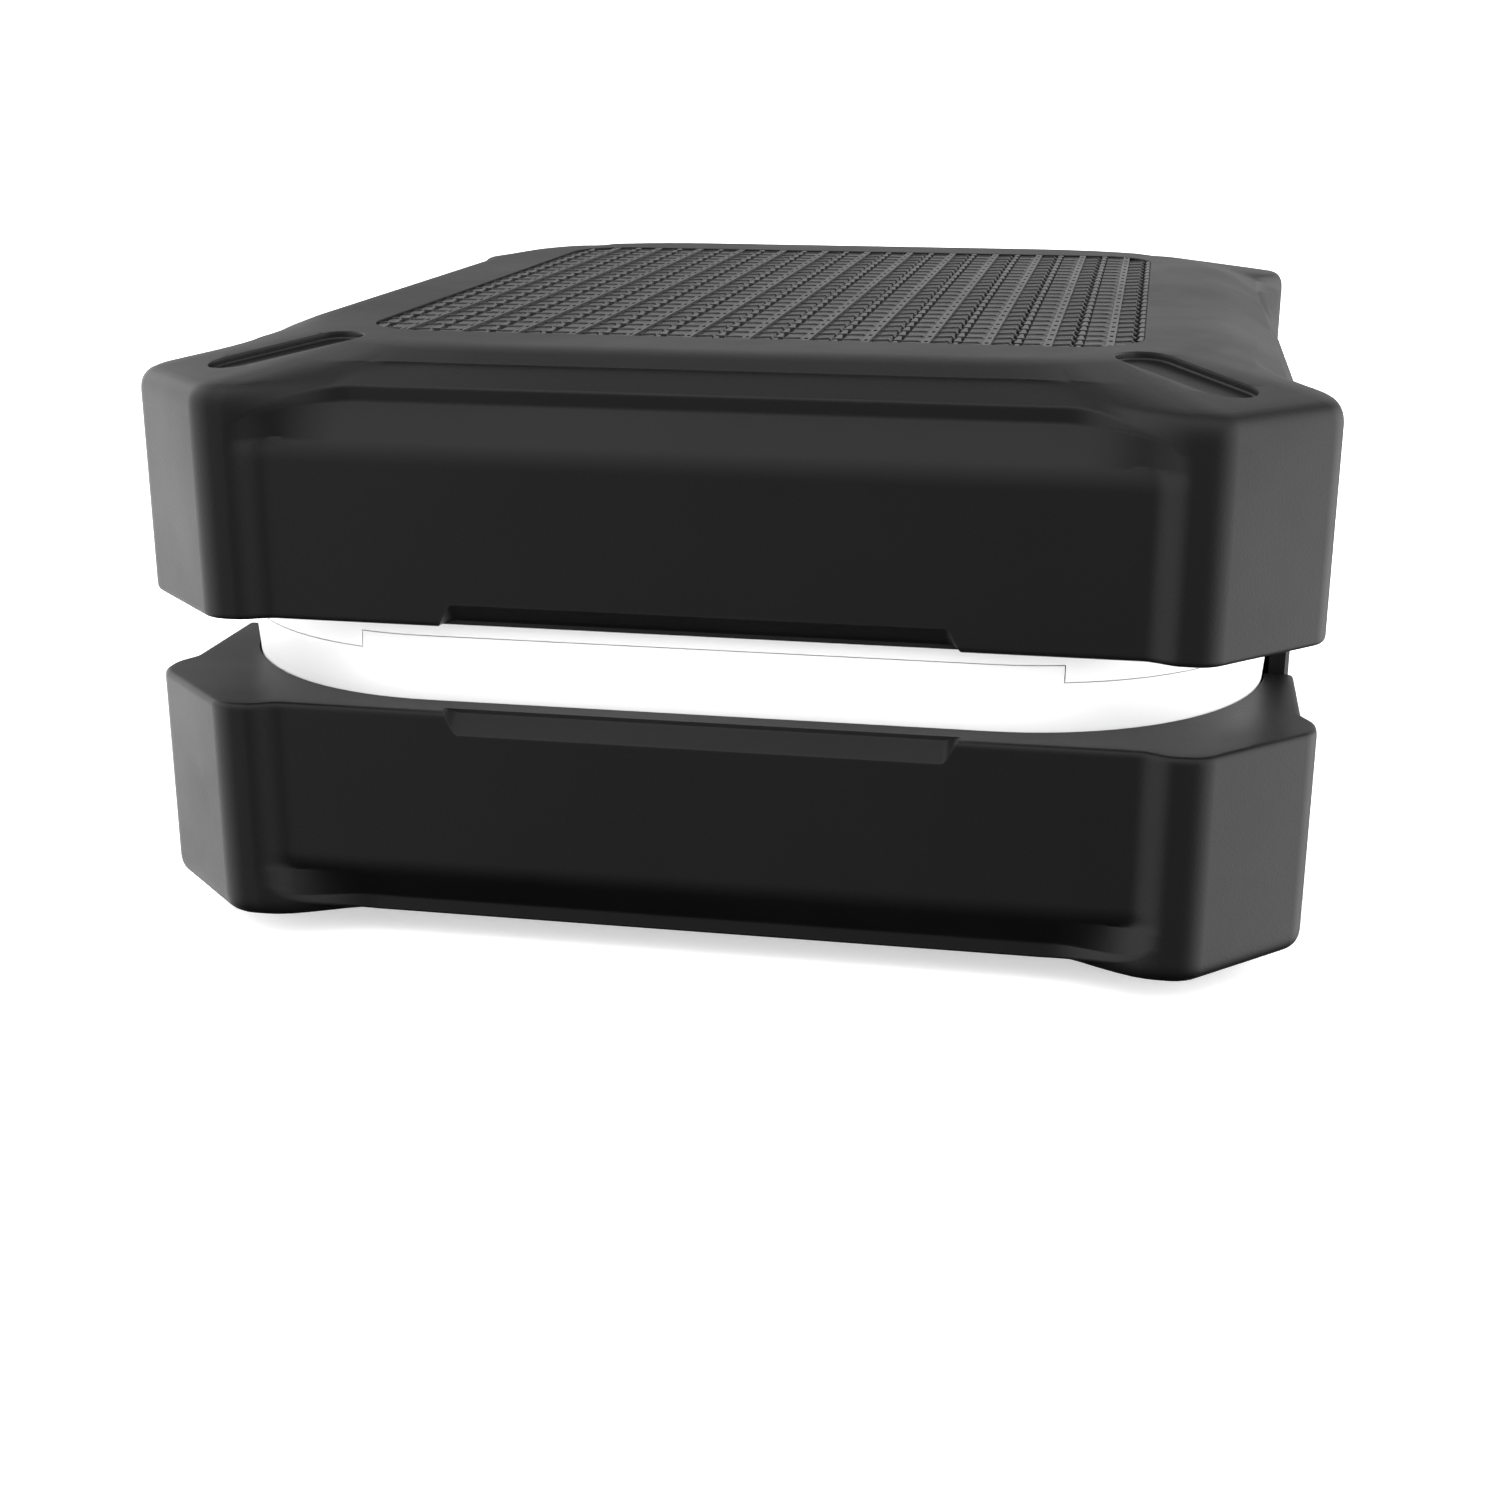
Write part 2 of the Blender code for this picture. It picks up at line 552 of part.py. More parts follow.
def lower_housing(material):
    tab_top = SEAM_RISE + TAB_HEIGHT
    obj = housing("node_lower_housing", -1, tab_top, material)

    bm = bmesh.new()
    floor = NODE_BOTTOM + NODE_WALL / 2
    for x, y in board_screw_places():
        add_rod(bm, (x, y, floor), (0, 0, 1),
                BOARD_Z - BOARD_THICK - GAP - floor, BOSS)
    for x, y in case_screw_places():
        add_rod(bm, (x, y, floor), (0, 0, 1), NODE_BOTTOM + SCREW_PAD - floor,
                SCREW_HEAD + 2 * NODE_WALL)
    boolean(obj, add_object("lower_bosses", bm), "UNION")

    bm = bmesh.new()
    half = TAB_WIDTH / 2
    left, right, front = -NODE_X - NODE_WALL, NODE_X + NODE_WALL, -NODE_Y - NODE_WALL
    inner = -NODE_Y + TAB_DEPTH
    plan = [(left, front), (-half, front), (-half, inner), (half, inner),
            (half, front), (right, front), (right, -front), (left, -front)]
    add_prism(bm, plan, SEAM, NODE_MIDDLE + tab_top + NODE_WALL)
    for x, y in board_screw_places():
        depth = BOARD_SCREW_LENGTH - BOARD_THICK + GAP
        top = BOARD_Z - BOARD_THICK
        add_rod(bm, (x, y, top - depth), (0, 0, 1), depth + GAP, HOLE)
    head = SCREW_SUNK + SCREW_HEAD_HEIGHT + GAP
    for x, y in case_screw_places():
        add_rod(bm, (x, y, NODE_BOTTOM - GAP), (0, 0, 1), head + GAP,
                SCREW_HEAD + 2 * GAP)
    for end in (-1, 1):
        add_prism(bm, foot_outline(end, GAP), NODE_BOTTOM - GAP,
                  NODE_BOTTOM + FOOT_THICK - FOOT_PROUD + GAP)
    boolean(obj, add_object("lower_housing_cutter", bm))

    bm = bmesh.new()
    for x, y in case_screw_places():
        add_rod(bm, (x, y, NODE_BOTTOM + SCREW_HEAD_HEIGHT), (0, 0, 1), SCREW_PAD, HOLE)
    add_box(bm, *socket_panel_box(0))
    boolean(obj, add_object("lower_housing_openings", bm))
    return obj


def socket_panel_box(spare):
    """The box of the wall that the socket panel fills, made smaller by spare."""
    reach = WINDOW_Y + SOCKET_PANEL_MARGIN - spare
    outside, inside = wall_at(BOARD_Z)
    return ((outside - NODE_WALL, -reach, BOARD_Z - SOCKET_PANEL_DROP + spare),
            (inside + NODE_WALL, reach, SEAM + NODE_WALL))


def socket_panel(material):
    """The plate in the node's left wall, with a hole for each socket."""
    obj = housing("socket_panel", -1, SEAM_RISE, material)
    bm = bmesh.new()
    add_box(bm, *socket_panel_box(GAP))
    boolean(obj, add_object("socket_panel_outline", bm), "INTERSECT")
    bm = bmesh.new()
    (wall_out, _, _), (wall_in, _, _) = socket_panel_box(0)
    for place, size in [(p, JACK) for p in JACK_PLACES] + [(INLET_PLACE, INLET)]:
        add_box(bm, (wall_out, place - size.y / 2 - GAP, BOARD_Z),
                (wall_in, place + size.y / 2 + GAP, BOARD_Z + size.z + 2 * GAP))
    for place, diameter, z in ((BUTTON_PLACE, BUTTON, button_height()),
                               (LENS_PLACE, LENS, lens_height())):
        add_rod(bm, (wall_out, place, z), (1, 0, 0), wall_in - wall_out,
                diameter + 2 * GAP, 16)
    boolean(obj, add_object("socket_panel_ports", bm))
    return obj


def upper_housing(material):
    obj = housing("node_upper_housing", 1, SEAM_RISE + GAP, material)
    bottom = NODE_BOTTOM + SCREW_PAD + GAP
    bm = bmesh.new()
    for x, y in case_screw_places():
        add_rod(bm, (x, y, bottom), (0, 0, 1), NODE_TOP - NODE_WALL / 2 - bottom, BOSS)
    boolean(obj, add_object("upper_bosses", bm), "UNION")

    bm = bmesh.new()
    add_box(bm, (-TAB_WIDTH / 2 - GAP, -NODE_Y - NODE_WALL, SEAM - NODE_WALL),
            (TAB_WIDTH / 2 + GAP, -NODE_Y + TAB_DEPTH + GAP, SEAM + TAB_HEIGHT + GAP))
    start = NODE_BOTTOM + SCREW_SUNK + SCREW_HEAD_HEIGHT
    for x, y in case_screw_places():
        add_rod(bm, (x, y, start), (0, 0, 1), CASE_SCREW_LENGTH + GAP, HOLE)
    boolean(obj, add_object("upper_housing_cutter", bm))
    return obj


def foot_outline(end, spare=0.0):
    """A foot strip in plan: a bar with round ends."""
    radius = FOOT_WIDTH / 2 + spare
    reach = FOOT_LENGTH / 2 - FOOT_WIDTH / 2
    outline = []
    for side in (1, -1):
        for i in range(5):
            angle = pi / 4 * i - pi / 2 + (0 if side > 0 else pi)
            outline.append((side * reach + radius * cos(angle),
                            end * FOOT_OFFSET + radius * sin(angle)))
    return outline


def foot_strip(name, end, material):
    bm = bmesh.new()
    bottom = NODE_BOTTOM - FOOT_PROUD
    add_prism(bm, foot_outline(end), bottom, bottom + FOOT_THICK)
    return add_object(name, bm, material)


# --- fasteners and electronics -----------------------------------------------------------
def screw(name, x, y, head_z, up, length, material):
    """A cheese-head screw. up is 1 where its shank points up from its head."""
    neck = SCREW_HEAD_HEIGHT
    profile = [(SCREW_HEAD, 0), (SCREW_HEAD, neck), (SCREW, neck), (SCREW, neck + length)]
    bm = bmesh.new()
    add_skin(bm, [[(x + i, y + j, head_z + up * z) for i, j in circle(diameter)]
                  for diameter, z in profile])
    return add_object(name, bm, material)


def main_board(material):
    height = NODE_MIDDLE - BOARD_Z
    inset = height * tan(NODE_DRAFT) + NODE_WALL + BOARD_MARGIN
    bm = bmesh.new()
    outline = rounded_rectangle(NODE_X - inset, NODE_Y - inset, NODE_CORNER - inset)
    add_prism(bm, outline, BOARD_Z - BOARD_THICK, BOARD_Z)
    obj = add_object("main_board", bm, material)
    bm = bmesh.new()
    for places, size in ((case_screw_places(), BOSS), (board_screw_places(), SCREW)):
        for x, y in places:
            add_rod(bm, (x, y, BOARD_Z - 2 * BOARD_THICK), (0, 0, 1), 3 * BOARD_THICK,
                    size + 2 * GAP)
    boolean(obj, add_object("board_holes", bm))
    return obj


def socket(name, size, hole, place, material):
    """A jack or inlet that stands on the board, with its mouth to the left."""
    bottom = BOARD_Z + GAP
    face = wall_at(bottom + size.z / 2)[0] + SOCKET_INSET
    bm = bmesh.new()
    add_box(bm, (face, place - size.y / 2, bottom),
            (face + size.x, place + size.y / 2, bottom + size.z))
    obj = add_object(name, bm, material)
    bm = bmesh.new()
    low = bottom + (size.z - hole.z) / 2
    add_box(bm, (face - size.y, place - hole.y / 2, low),
            (face + hole.x, place + hole.y / 2, low + hole.z))
    boolean(obj, add_object(name + "_mouth", bm))
    return obj


def button_height():
    return BOARD_Z + GAP + SWITCH.z / 2


def lens_height():
    return BOARD_Z + GAP + LED.z / 2


def button_end():
    """Where the reset button's stem ends, inside the node."""
    inside = wall_at(button_height())[1]
    return inside + BUTTON_BACK + BUTTON_FLANGE_THICK + BUTTON_STEM


def reset_button(material):
    """Cap, flange and stem along +X, the way it is pressed. Its origin is on its axis."""
    outside, inside = wall_at(button_height())
    flange = inside + BUTTON_BACK
    profile = [
        (outside - BUTTON_PROUD, BUTTON), (flange, BUTTON), (flange, BUTTON_FLANGE),
        (flange + BUTTON_FLANGE_THICK, BUTTON_FLANGE),
        (flange + BUTTON_FLANGE_THICK, BUTTON), (button_end(), BUTTON),
    ]
    bm = bmesh.new()
    add_skin(bm, [[(x, BUTTON_PLACE + i, button_height() + j)
                   for i, j in circle(diameter)] for x, diameter in profile])
    obj = add_object("reset_button", bm, material)
    set_origin(obj, (outside, BUTTON_PLACE, button_height()))
    return obj


def reset_switch(material):
    face = button_end() + BUTTON_TRAVEL + GAP + PLUNGER_LENGTH
    bm = bmesh.new()
    add_block(bm, SWITCH, face + SWITCH.x / 2, BUTTON_PLACE, BOARD_Z + GAP)
    obj = add_object("reset_switch", bm, material)
    bm = bmesh.new()
    add_rod(bm, (face - PLUNGER_LENGTH, BUTTON_PLACE, button_height()), (1, 0, 0),
            PLUNGER_LENGTH + SWITCH.x / 2, PLUNGER)
    boolean(obj, add_object("reset_plunger", bm), "UNION")
    return obj


def status_light(lens_material, led_material):
    outside = wall_at(lens_height())[0]
    bm = bmesh.new()
    add_rod(bm, (outside, LENS_PLACE, lens_height()), (1, 0, 0), LENS_LENGTH, LENS, 16)
    lens = add_object("status_lens", bm, lens_material)
    bm = bmesh.new()
    add_block(bm, LED, outside + LENS_LENGTH + GAP + LED.x / 2, LENS_PLACE, BOARD_Z + GAP)
    return lens, add_object("status_led", bm, led_material)


def block(name, size, x, y, z, material):
    bm = bmesh.new()
    add_block(bm, size, x, y, z)
    return add_object(name, bm, material)


def heat_sink(z, material):
    """A finned plate on four legs over the processor, its fins front to back."""
    half = SINK_WIDTH / 2
    pitch = (SINK_WIDTH - FIN_THICK) / (FIN_COUNT - 1)
    top, base = z + SINK_THICK + FIN_HEIGHT, z + SINK_THICK
    profile = [(SINK_X - half, z), (SINK_X + half, z)]
    for i in range(FIN_COUNT - 1, -1, -1):
        left = SINK_X - half + i * pitch
        profile += [(left + FIN_THICK, base), (left + FIN_THICK, top),
                    (left, top), (left, base)]
    del profile[-1]
    del profile[2]
    bm = bmesh.new()
    add_skin(bm, [[(x, y, z) for x, z in profile] for y in (SINK_DEPTH / 2, -SINK_DEPTH / 2)])
    obj = add_object("heat_sink", bm, material)
    bm = bmesh.new()
    for i, j in SIGNS:
        add_rod(bm, (SINK_X + i * (half - SINK_LEG), j * (SINK_DEPTH / 2 - SINK_LEG),
                     BOARD_Z + GAP), (0, 0, 1), z - BOARD_Z + SINK_THICK / 2, SINK_LEG)
    boolean(obj, add_object("sink_legs", bm), "UNION")
    return obj


def shield_can(name, side, material):
    """A thin lid over the radio parts, open towards the board."""
    obj = block(name, CAN, SINK_X, side * CAN_PLACE, BOARD_Z + GAP, material)
    bm = bmesh.new()
    inner = Vector((CAN.x - 2 * CAN_WALL, CAN.y - 2 * CAN_WALL, CAN.z))
    add_block(bm, inner, SINK_X, side * CAN_PLACE, BOARD_Z + GAP - CAN_WALL)
    boolean(obj, add_object(name + "_inside", bm))
    return obj


def antenna(name, x, y, turn, material):
    """A stamped plate that stands on a foot, turned so that its foot points inward."""
    foot, thick = ANTENNA_FOOT, ANTENNA_THICK
    profile = [(0, 0), (foot, 0), (foot, thick), (thick, thick), (thick, ANTENNA_HEIGHT),
               (0, ANTENNA_HEIGHT)]
    half = ANTENNA_WIDTH / 2
    bm = bmesh.new()
    add_skin(bm, [[(along, across, z) for across, z in profile]
                  for along in (-half, half)])
    obj = add_object(name, bm, material)
    place = Matrix.Translation((x, y, BOARD_Z + GAP)) @ Matrix.Rotation(turn, 4, "Z")
    obj.matrix_world = place
    return obj


# --- putting it together -------------------------------------------------------------------
def build_case(black, weave, rubber):
    end = GAP
    shell("lower_shell", LOWER_RIM, -1, end + FOOT_PROUD, black)
    shell("upper_shell", UPPER_RIM, 1, end, black)
    side_bridge(black)
    top = UPPER_RIM + SHELL_HEIGHT
    inlay("top_panel", top - PANEL_POCKET + GAP, top - PANEL_SUNK, weave)
    inlay("base_pad", 0, PAD_PROUD + PANEL_POCKET - GAP, rubber)


def build_housing(white, rubber, steel):
    lower_housing(white)
    upper_housing(white)
    socket_panel(white)
    foot_strip("node_foot_front", -1, rubber)
    foot_strip("node_foot_back", 1, rubber)
    for i, (x, y) in enumerate(case_screw_places()):
        screw(f"housing_screw_{i + 1}", x, y, NODE_BOTTOM + SCREW_SUNK, 1,
              CASE_SCREW_LENGTH, steel)


def build_board(steel, dark, metals):
    green, silver, copper = metals
    main_board(green)
    for i, (x, y) in enumerate(board_screw_places()):
        screw(f"board_screw_{i + 1}", x, y, BOARD_Z + GAP + SCREW_HEAD_HEIGHT, -1,
              BOARD_SCREW_LENGTH, steel)
    z = BOARD_Z + GAP
    block("processor", CHIP, SINK_X, 0, z, dark)
    z += CHIP.z + GAP
    block("thermal_pad", THERMAL_PAD, SINK_X, 0, z, principled(
        "thermal_pad_grey", (0.35, 0.37, 0.4), 0.8))
    heat_sink(z + THERMAL_PAD.z + GAP, silver)
    shield_can("shield_can_front", -1, steel)
    shield_can("shield_can_back", 1, steel)
    edge = wall_at(BOARD_Z)[1] + BOARD_MARGIN
    right, back = -edge - ANTENNA_EDGE, NODE_Y - (NODE_X + edge) - ANTENNA_EDGE
    antenna("antenna_right_front", right, -ANTENNA_WIDTH, pi / 2, copper)
    antenna("antenna_right_back", right, ANTENNA_WIDTH, pi / 2, copper)
    antenna("antenna_front", -ANTENNA_WIDTH, -back, 0, copper)
    antenna("antenna_back", -ANTENNA_WIDTH, back, pi, copper)


def build_ports(steel, dark, clear):
    for i, place in enumerate(JACK_PLACES):
        socket(f"ethernet_jack_{i + 1}", JACK, JACK_HOLE, place, steel)
    socket("power_inlet", INLET, INLET_HOLE, INLET_PLACE, steel)
    reset_button(dark)
    reset_switch(dark)
    status_light(clear, principled("led_yellow", (0.8, 0.7, 0.3), 0.4))


def main():
    for obj in list(bpy.data.objects):
        bpy.data.objects.remove(obj)
    black = principled("case_black", (0.016, 0.016, 0.017), 0.55)
    weave = principled("woven_black", (0.02, 0.02, 0.021), 0.6)
    rubber = principled("rubber_black", (0.02, 0.02, 0.02), 0.85)
    white = principled("node_white", (0.86, 0.86, 0.86), 0.3)
    steel = principled("steel", (0.55, 0.55, 0.56), 0.35, 1.0)
    dark = principled("dark_plastic", (0.03, 0.03, 0.03), 0.5)
    metals = (principled("board_green", (0.02, 0.16, 0.07), 0.5),
              principled("aluminium", (0.7, 0.7, 0.72), 0.4, 1.0),
              principled("copper", (0.72, 0.42, 0.25), 0.35, 1.0))
    build_case(black, weave, rubber)
    build_housing(white, rubber, steel)
    build_board(steel, dark, metals)
    build_ports(steel, dark, principled("lens_clear", (0.8, 0.85, 0.9), 0.15))


main()
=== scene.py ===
# %% [markdown]
# # A mesh wifi node in its rugged case
#
# A white block with round corners sits in a black case. The case is two
# mirrored shells that leave a band of the block bare between them. This script
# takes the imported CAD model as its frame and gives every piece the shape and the
# finish that the camera sees. Lengths are in metres, +Z is up, -Y is the front.

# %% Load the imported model
from math import cos, hypot, pi, radians, sin, sqrt, tan

import bmesh
import bpy
from mathutils import Matrix, Vector
from mathutils.bvhtree import BVHTree


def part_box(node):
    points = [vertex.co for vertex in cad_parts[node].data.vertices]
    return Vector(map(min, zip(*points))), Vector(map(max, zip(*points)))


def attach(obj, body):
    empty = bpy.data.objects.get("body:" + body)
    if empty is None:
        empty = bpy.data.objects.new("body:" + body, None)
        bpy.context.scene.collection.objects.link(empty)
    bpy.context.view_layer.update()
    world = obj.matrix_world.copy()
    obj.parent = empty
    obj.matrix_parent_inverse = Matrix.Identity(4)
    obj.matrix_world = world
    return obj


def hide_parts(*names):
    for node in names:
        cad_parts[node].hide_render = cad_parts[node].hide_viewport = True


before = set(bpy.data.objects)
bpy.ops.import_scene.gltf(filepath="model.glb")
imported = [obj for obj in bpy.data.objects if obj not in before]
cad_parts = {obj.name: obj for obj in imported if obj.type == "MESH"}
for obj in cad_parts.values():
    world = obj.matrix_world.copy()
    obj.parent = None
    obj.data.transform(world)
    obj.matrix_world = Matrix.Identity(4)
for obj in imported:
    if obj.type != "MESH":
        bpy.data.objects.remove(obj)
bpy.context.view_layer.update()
MM = 0.001

# %% [markdown]
# ## Sizes
#
# The driving sizes are read from the CAD nodes, so the visual pieces land where
# the solids are. The finer ones, such as fillets, repeat the CAD's own values.

# %% Measure the frame
shell_low, shell_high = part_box("upper_shell")
HALF_X, HALF_Y = shell_high.x, shell_high.y
UPPER_RIM, LOWER_RIM = shell_low.z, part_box("lower_shell")[1].z
SHELL_HEIGHT = shell_high.z - UPPER_RIM
node_low, node_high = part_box("node_lower_housing")[0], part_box("node_upper_housing")[1]
NODE_X, NODE_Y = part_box("node_lower_housing")[1].x, -node_low.y
NODE_MIDDLE = (node_low.z + node_high.z) / 2
NODE_HALF = (node_high.z - node_low.z) / 2
print(f"case {2000 * HALF_X:.1f} x {2000 * HALF_Y:.1f} mm,",
      f"shell {1000 * SHELL_HEIGHT:.1f} mm")

# %% Sizes of the case's forms
CORNERS = ((-1, -1), (1, -1), (1, 1), (-1, 1))
RECESS = 2.1 * MM  # the walls stand back between the corner posts
RIM_FILLET = 1.2 * MM
WALL_FILLET = 2.2 * MM  # where the flat wall turns into the scoop
CHAMFER = 18.0 * MM
POST_FILLET, POST_TOP = 6.0 * MM, 3.5 * MM  # a post's upright and upper edges
POST_DROP, MIDDLE_DROP = 4.9 * MM, 6.6 * MM  # from the flat top to the wall's face
RECESS_START, RECESS_END = 22.4 * MM, 28.5 * MM  # along a wall, from its corner
SCOOP_END = 42.0 * MM  # where the scoop has its full depth
SCOOP_FOOT, SCOOP_CREASE = 14.6 * MM, 7.4 * MM  # below the flat top
SCOOP_INSET = 7.6 * MM  # from a post's face to the crease
SCOOP_TURN, SCOOP_SAG = 17.0 * MM, 3.0 * MM  # how the crease bends down at its ends
LIP_HEIGHT, LIP_LEAST, LIP_UNDERCUT = 2.6 * MM, 0.3 * MM, 0.15 * MM
CREASE_ROUND, LIP_ROUND = 0.35 * MM, 0.5 * MM
LEDGE, LEDGE_DROP = 0.25 * MM, 2.06 * MM  # a faint step half-way up the top slope
WIDENING = 8.0 * MM  # height over which the recess's edge gets wider
EDGE_ROUND = 3.2 * MM
PLATEAU = (HALF_X - 17.4 * MM, HALF_Y - 22.4 * MM, 42.0 * MM)  # half sizes, radius

# %% Sizes of the cuts in a shell, in millimetres
DIAGONAL = 0.7071  # cosine of 45 degrees
SLOT_MARGIN, SLOT_LENGTH, SLOT_RADIUS = 8.2, 27.4, 5  # margin: from the chamfer's face
SLOT_LEVELS = (  # (wider than the radius, depth below the sloping top)
    (-0.6, 1.3), (-0.2, 1.25), (0, 1.0), (0, 0.35),
    (0.1, 0.08), (0.3, -0.02), (0.7, -1.5))
POCKET_CORNER, POCKET_GAP = 13, 0.15
POCKET_LEVELS = ((0, -1.5), (0, -0.15), (0.15, 0), (0.6, 1))  # (wider, height)
RELIEF_END, RELIEF_RAMP, RELIEF_SIDE = 42.9, 2.9, 44  # along the rim, from its middle
RELIEF_LEVELS = ((2.5, 0.7), (0, 3.9), (-1.2, 5.4))  # (inside the wall's face, height)
GROOVE_HALF, GROOVE_MARGIN, GROOVE_DEPTH = 1.05, 7.7, 8.3

# %% Sizes of the node and the openings
NODE_CORNER = 45.0 * MM
NODE_EDGE = 12.0 * MM
NODE_DRAFT = radians(4)
NODE_WALL = 2.2 * MM
GRIP = 0.4 * MM
NODE_STRAIGHT = NODE_HALF - NODE_EDGE
WALL_X, WALL_Y = HALF_X - RECESS, HALF_Y - RECESS
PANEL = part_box("top_panel")[1]
SIDE_WALL, WINDOW_Y, WINDOW_SINK = 5.0 * MM, HALF_Y - 51.0 * MM, 12.0 * MM

# %% [markdown]
# ## Mesh helpers
#
# Most pieces here are a skin over a stack of rings: each ring holds the same
# number of points, and neighbours are joined by quads. It is a simple way to
# turn a rule for a cross-section into a closed solid.

# %% Skins, rounded rectangles and carving
def add_skin(bm, rings):
    """A closed solid through a stack of rings of points, capped at both ends."""
    loops = [[bm.verts.new(point) for point in ring] for ring in rings]
    for low, high in zip(loops, loops[1:]):
        for i, vert in enumerate(low):
            j = (i + 1) % len(low)
            bm.faces.new((vert, low[j], high[j], high[i]))
    bm.faces.new(reversed(loops[0]))
    bm.faces.new(loops[-1])


def rounded_rectangle(half_x, half_y, radius, steps=24):
    quarter = [
        (half_x - radius + radius * cos(a), half_y - radius + radius * sin(a))
        for a in (pi / 2 * i / steps for i in range(steps + 1))
    ]
    turns = ((1, 1, 1), (-1, 1, -1), (-1, -1, 1), (1, -1, -1))
    return [(x * i, y * j) for i, j, step in turns for x, y in quarter[::step]]


def make_object(name, bm):
    bmesh.ops.recalc_face_normals(bm, faces=bm.faces)
    mesh = bpy.data.meshes.new(name)
    bm.to_mesh(mesh)
    bm.free()
    obj = bpy.data.objects.new(name, mesh)
    bpy.context.scene.collection.objects.link(obj)
    return obj


def evaluated_mesh(obj):
    bpy.context.view_layer.update()
    graph = bpy.context.evaluated_depsgraph_get()
    return bpy.data.meshes.new_from_object(obj.evaluated_get(graph))


def carve(obj, bm, operation="DIFFERENCE"):
    """Cuts the solids in bm out of obj, and leaves a plain mesh."""
    cutter = make_object("cutter", bm)
    modifier = obj.modifiers.new("carve", "BOOLEAN")
    modifier.object, modifier.operation, modifier.solver = cutter, operation, "EXACT"
    mesh = evaluated_mesh(obj)
    obj.modifiers.clear()
    obj.data = mesh
    bpy.data.objects.remove(cutter)


def smooth(obj, angle=32):
    """Smooth shading that keeps flat faces flat and sharp corners sharp."""
    obj.data.shade_smooth()
    obj.data.set_sharp_from_angle(angle=radians(angle))
    modifier = obj.modifiers.new("weighted", "WEIGHTED_NORMAL")
    modifier.keep_sharp = True


def triangles(obj):
    return sum(len(p.vertices) - 2 for p in obj.data.polygons)


# %% [markdown]
# ## The case's outline
#
# Seen from above, a shell is a rectangle with its corners cut at 45 degrees and
# its walls set back between the corner posts. A column is one point of that
# outline with its outward direction, and how far it lies along its side.

# %% Columns round the outline
def spread(start, end, count):
    return [start + (end - start) * (i + 1) / count for i in range(count)]


def side_steps():
    """Distances from a corner at which the columns of a side stand."""
    return ([RECESS_START] + spread(RECESS_START, RECESS_END, 9)
            + spread(RECESS_END, SCOOP_END, 12) + spread(SCOOP_END, 66 * MM, 8))


def post_edge(x, y, angle, steps=7):
    """Columns round one upright edge of a post, where the outline turns 45 degrees."""
    tangent = POST_FILLET * tan(pi / 8)
    centre_x = x + tangent * sin(angle) - POST_FILLET * cos(angle)
    centre_y = y - tangent * cos(angle) - POST_FILLET * sin(angle)
    angles = [angle + pi / 4 * i / steps for i in range(steps + 1)]
    return [(centre_x + POST_FILLET * cos(a), centre_y + POST_FILLET * sin(a),
             cos(a), sin(a), 0.0) for a in angles]


def case_columns():
    """(x, y, out_x, out_y, along) round the whole outline, counter-clockwise."""
    steps = side_steps()
    side = [(HALF_X, HALF_Y - s, 1, 0, s) for s in [HALF_Y] + steps[::-1]]
    back = [(HALF_X - s, HALF_Y, 0, 1, s) for s in steps + [HALF_X]]
    first = post_edge(HALF_X, HALF_Y - CHAMFER, 0)
    second = post_edge(HALF_X - CHAMFER, HALF_Y, pi / 4)
    flat = [tuple(a + (b - a) * t / 3 for a, b in zip(first[-1], second[0]))
            for t in (1, 2)]
    quarter = side + first + flat + second + back
    half = quarter + [(-x, y, -i, j, s) for x, y, i, j, s in quarter[-2::-1]]
    return half + [(-x, -y, -i, -j, s) for x, y, i, j, s in half[1:-1]]


columns = case_columns()
print("columns round a shell:", len(columns))

# %% [markdown]
# ## The shells
#
# Going up a wall, the moulding passes a small fillet at the rim, a flat wall, a
# scoop that leans in, a crease, a short lip, and a shallow slope to the flat
# top. On a corner post the wall runs straight up to a large fillet. A column
# works out both paths, and blends them point by point at equal heights. The
# corners of a path are rounded first, by cutting them short and bending a curve
# through the cut, which gives true fillets with few numbers.

# %% One column's profile, with rounded corners
def mix(a, b, share):
    return a + (b - a) * share


def smooth_step(t):
    t = min(max(t, 0.0), 1.0)
    return t * t * (3 - 2 * t)


def onto_rectangle(x, y, half_x, half_y, radius):
    """The nearest point to (x, y) on a rounded rectangle that lies inside it."""
    core_x, core_y = half_x - radius, half_y - radius
    mid_x, mid_y = min(max(x, -core_x), core_x), min(max(y, -core_y), core_y)
    share = radius / hypot(x - mid_x, y - mid_y)
    return mid_x + (x - mid_x) * share, mid_y + (y - mid_y) * share


def round_corners(points, cuts, steps):
    """Replaces each inner corner of a path by a curve that starts cut before it."""
    path = [points[0]]
    for i in range(1, len(points) - 1):
        before, corner, after = points[i - 1], points[i], points[i + 1]
        reach = min(cuts[i - 1], (corner - before).length * 0.49,
                    (after - corner).length * 0.49)
        start = corner + (before - corner).normalized() * reach
        end = corner + (after - corner).normalized() * reach
        for k in range(steps[i - 1] + 1):
            t = k / steps[i - 1]
            path.append(start.lerp(corner, t).lerp(corner.lerp(end, t), t))
    return path + [points[-1]]


def recess_share(along, z):
    """0 on a post's face, 1 in the recess. The change takes more room higher up."""
    widening = smooth_step((z - SHELL_HEIGHT + SCOOP_FOOT) / WIDENING)
    end = mix(RECESS_END, SCOOP_END, widening)
    return smooth_step((along - RECESS_START) / (end - RECESS_START))


def point_at_height(path, z):
    """Where a path that climbs all the way reaches a height."""
    for low, high in zip(path, path[1:]):
        if z <= high.z:
            return low.lerp(high, (z - low.z) / (high.z - low.z))
    return path[-1].copy()


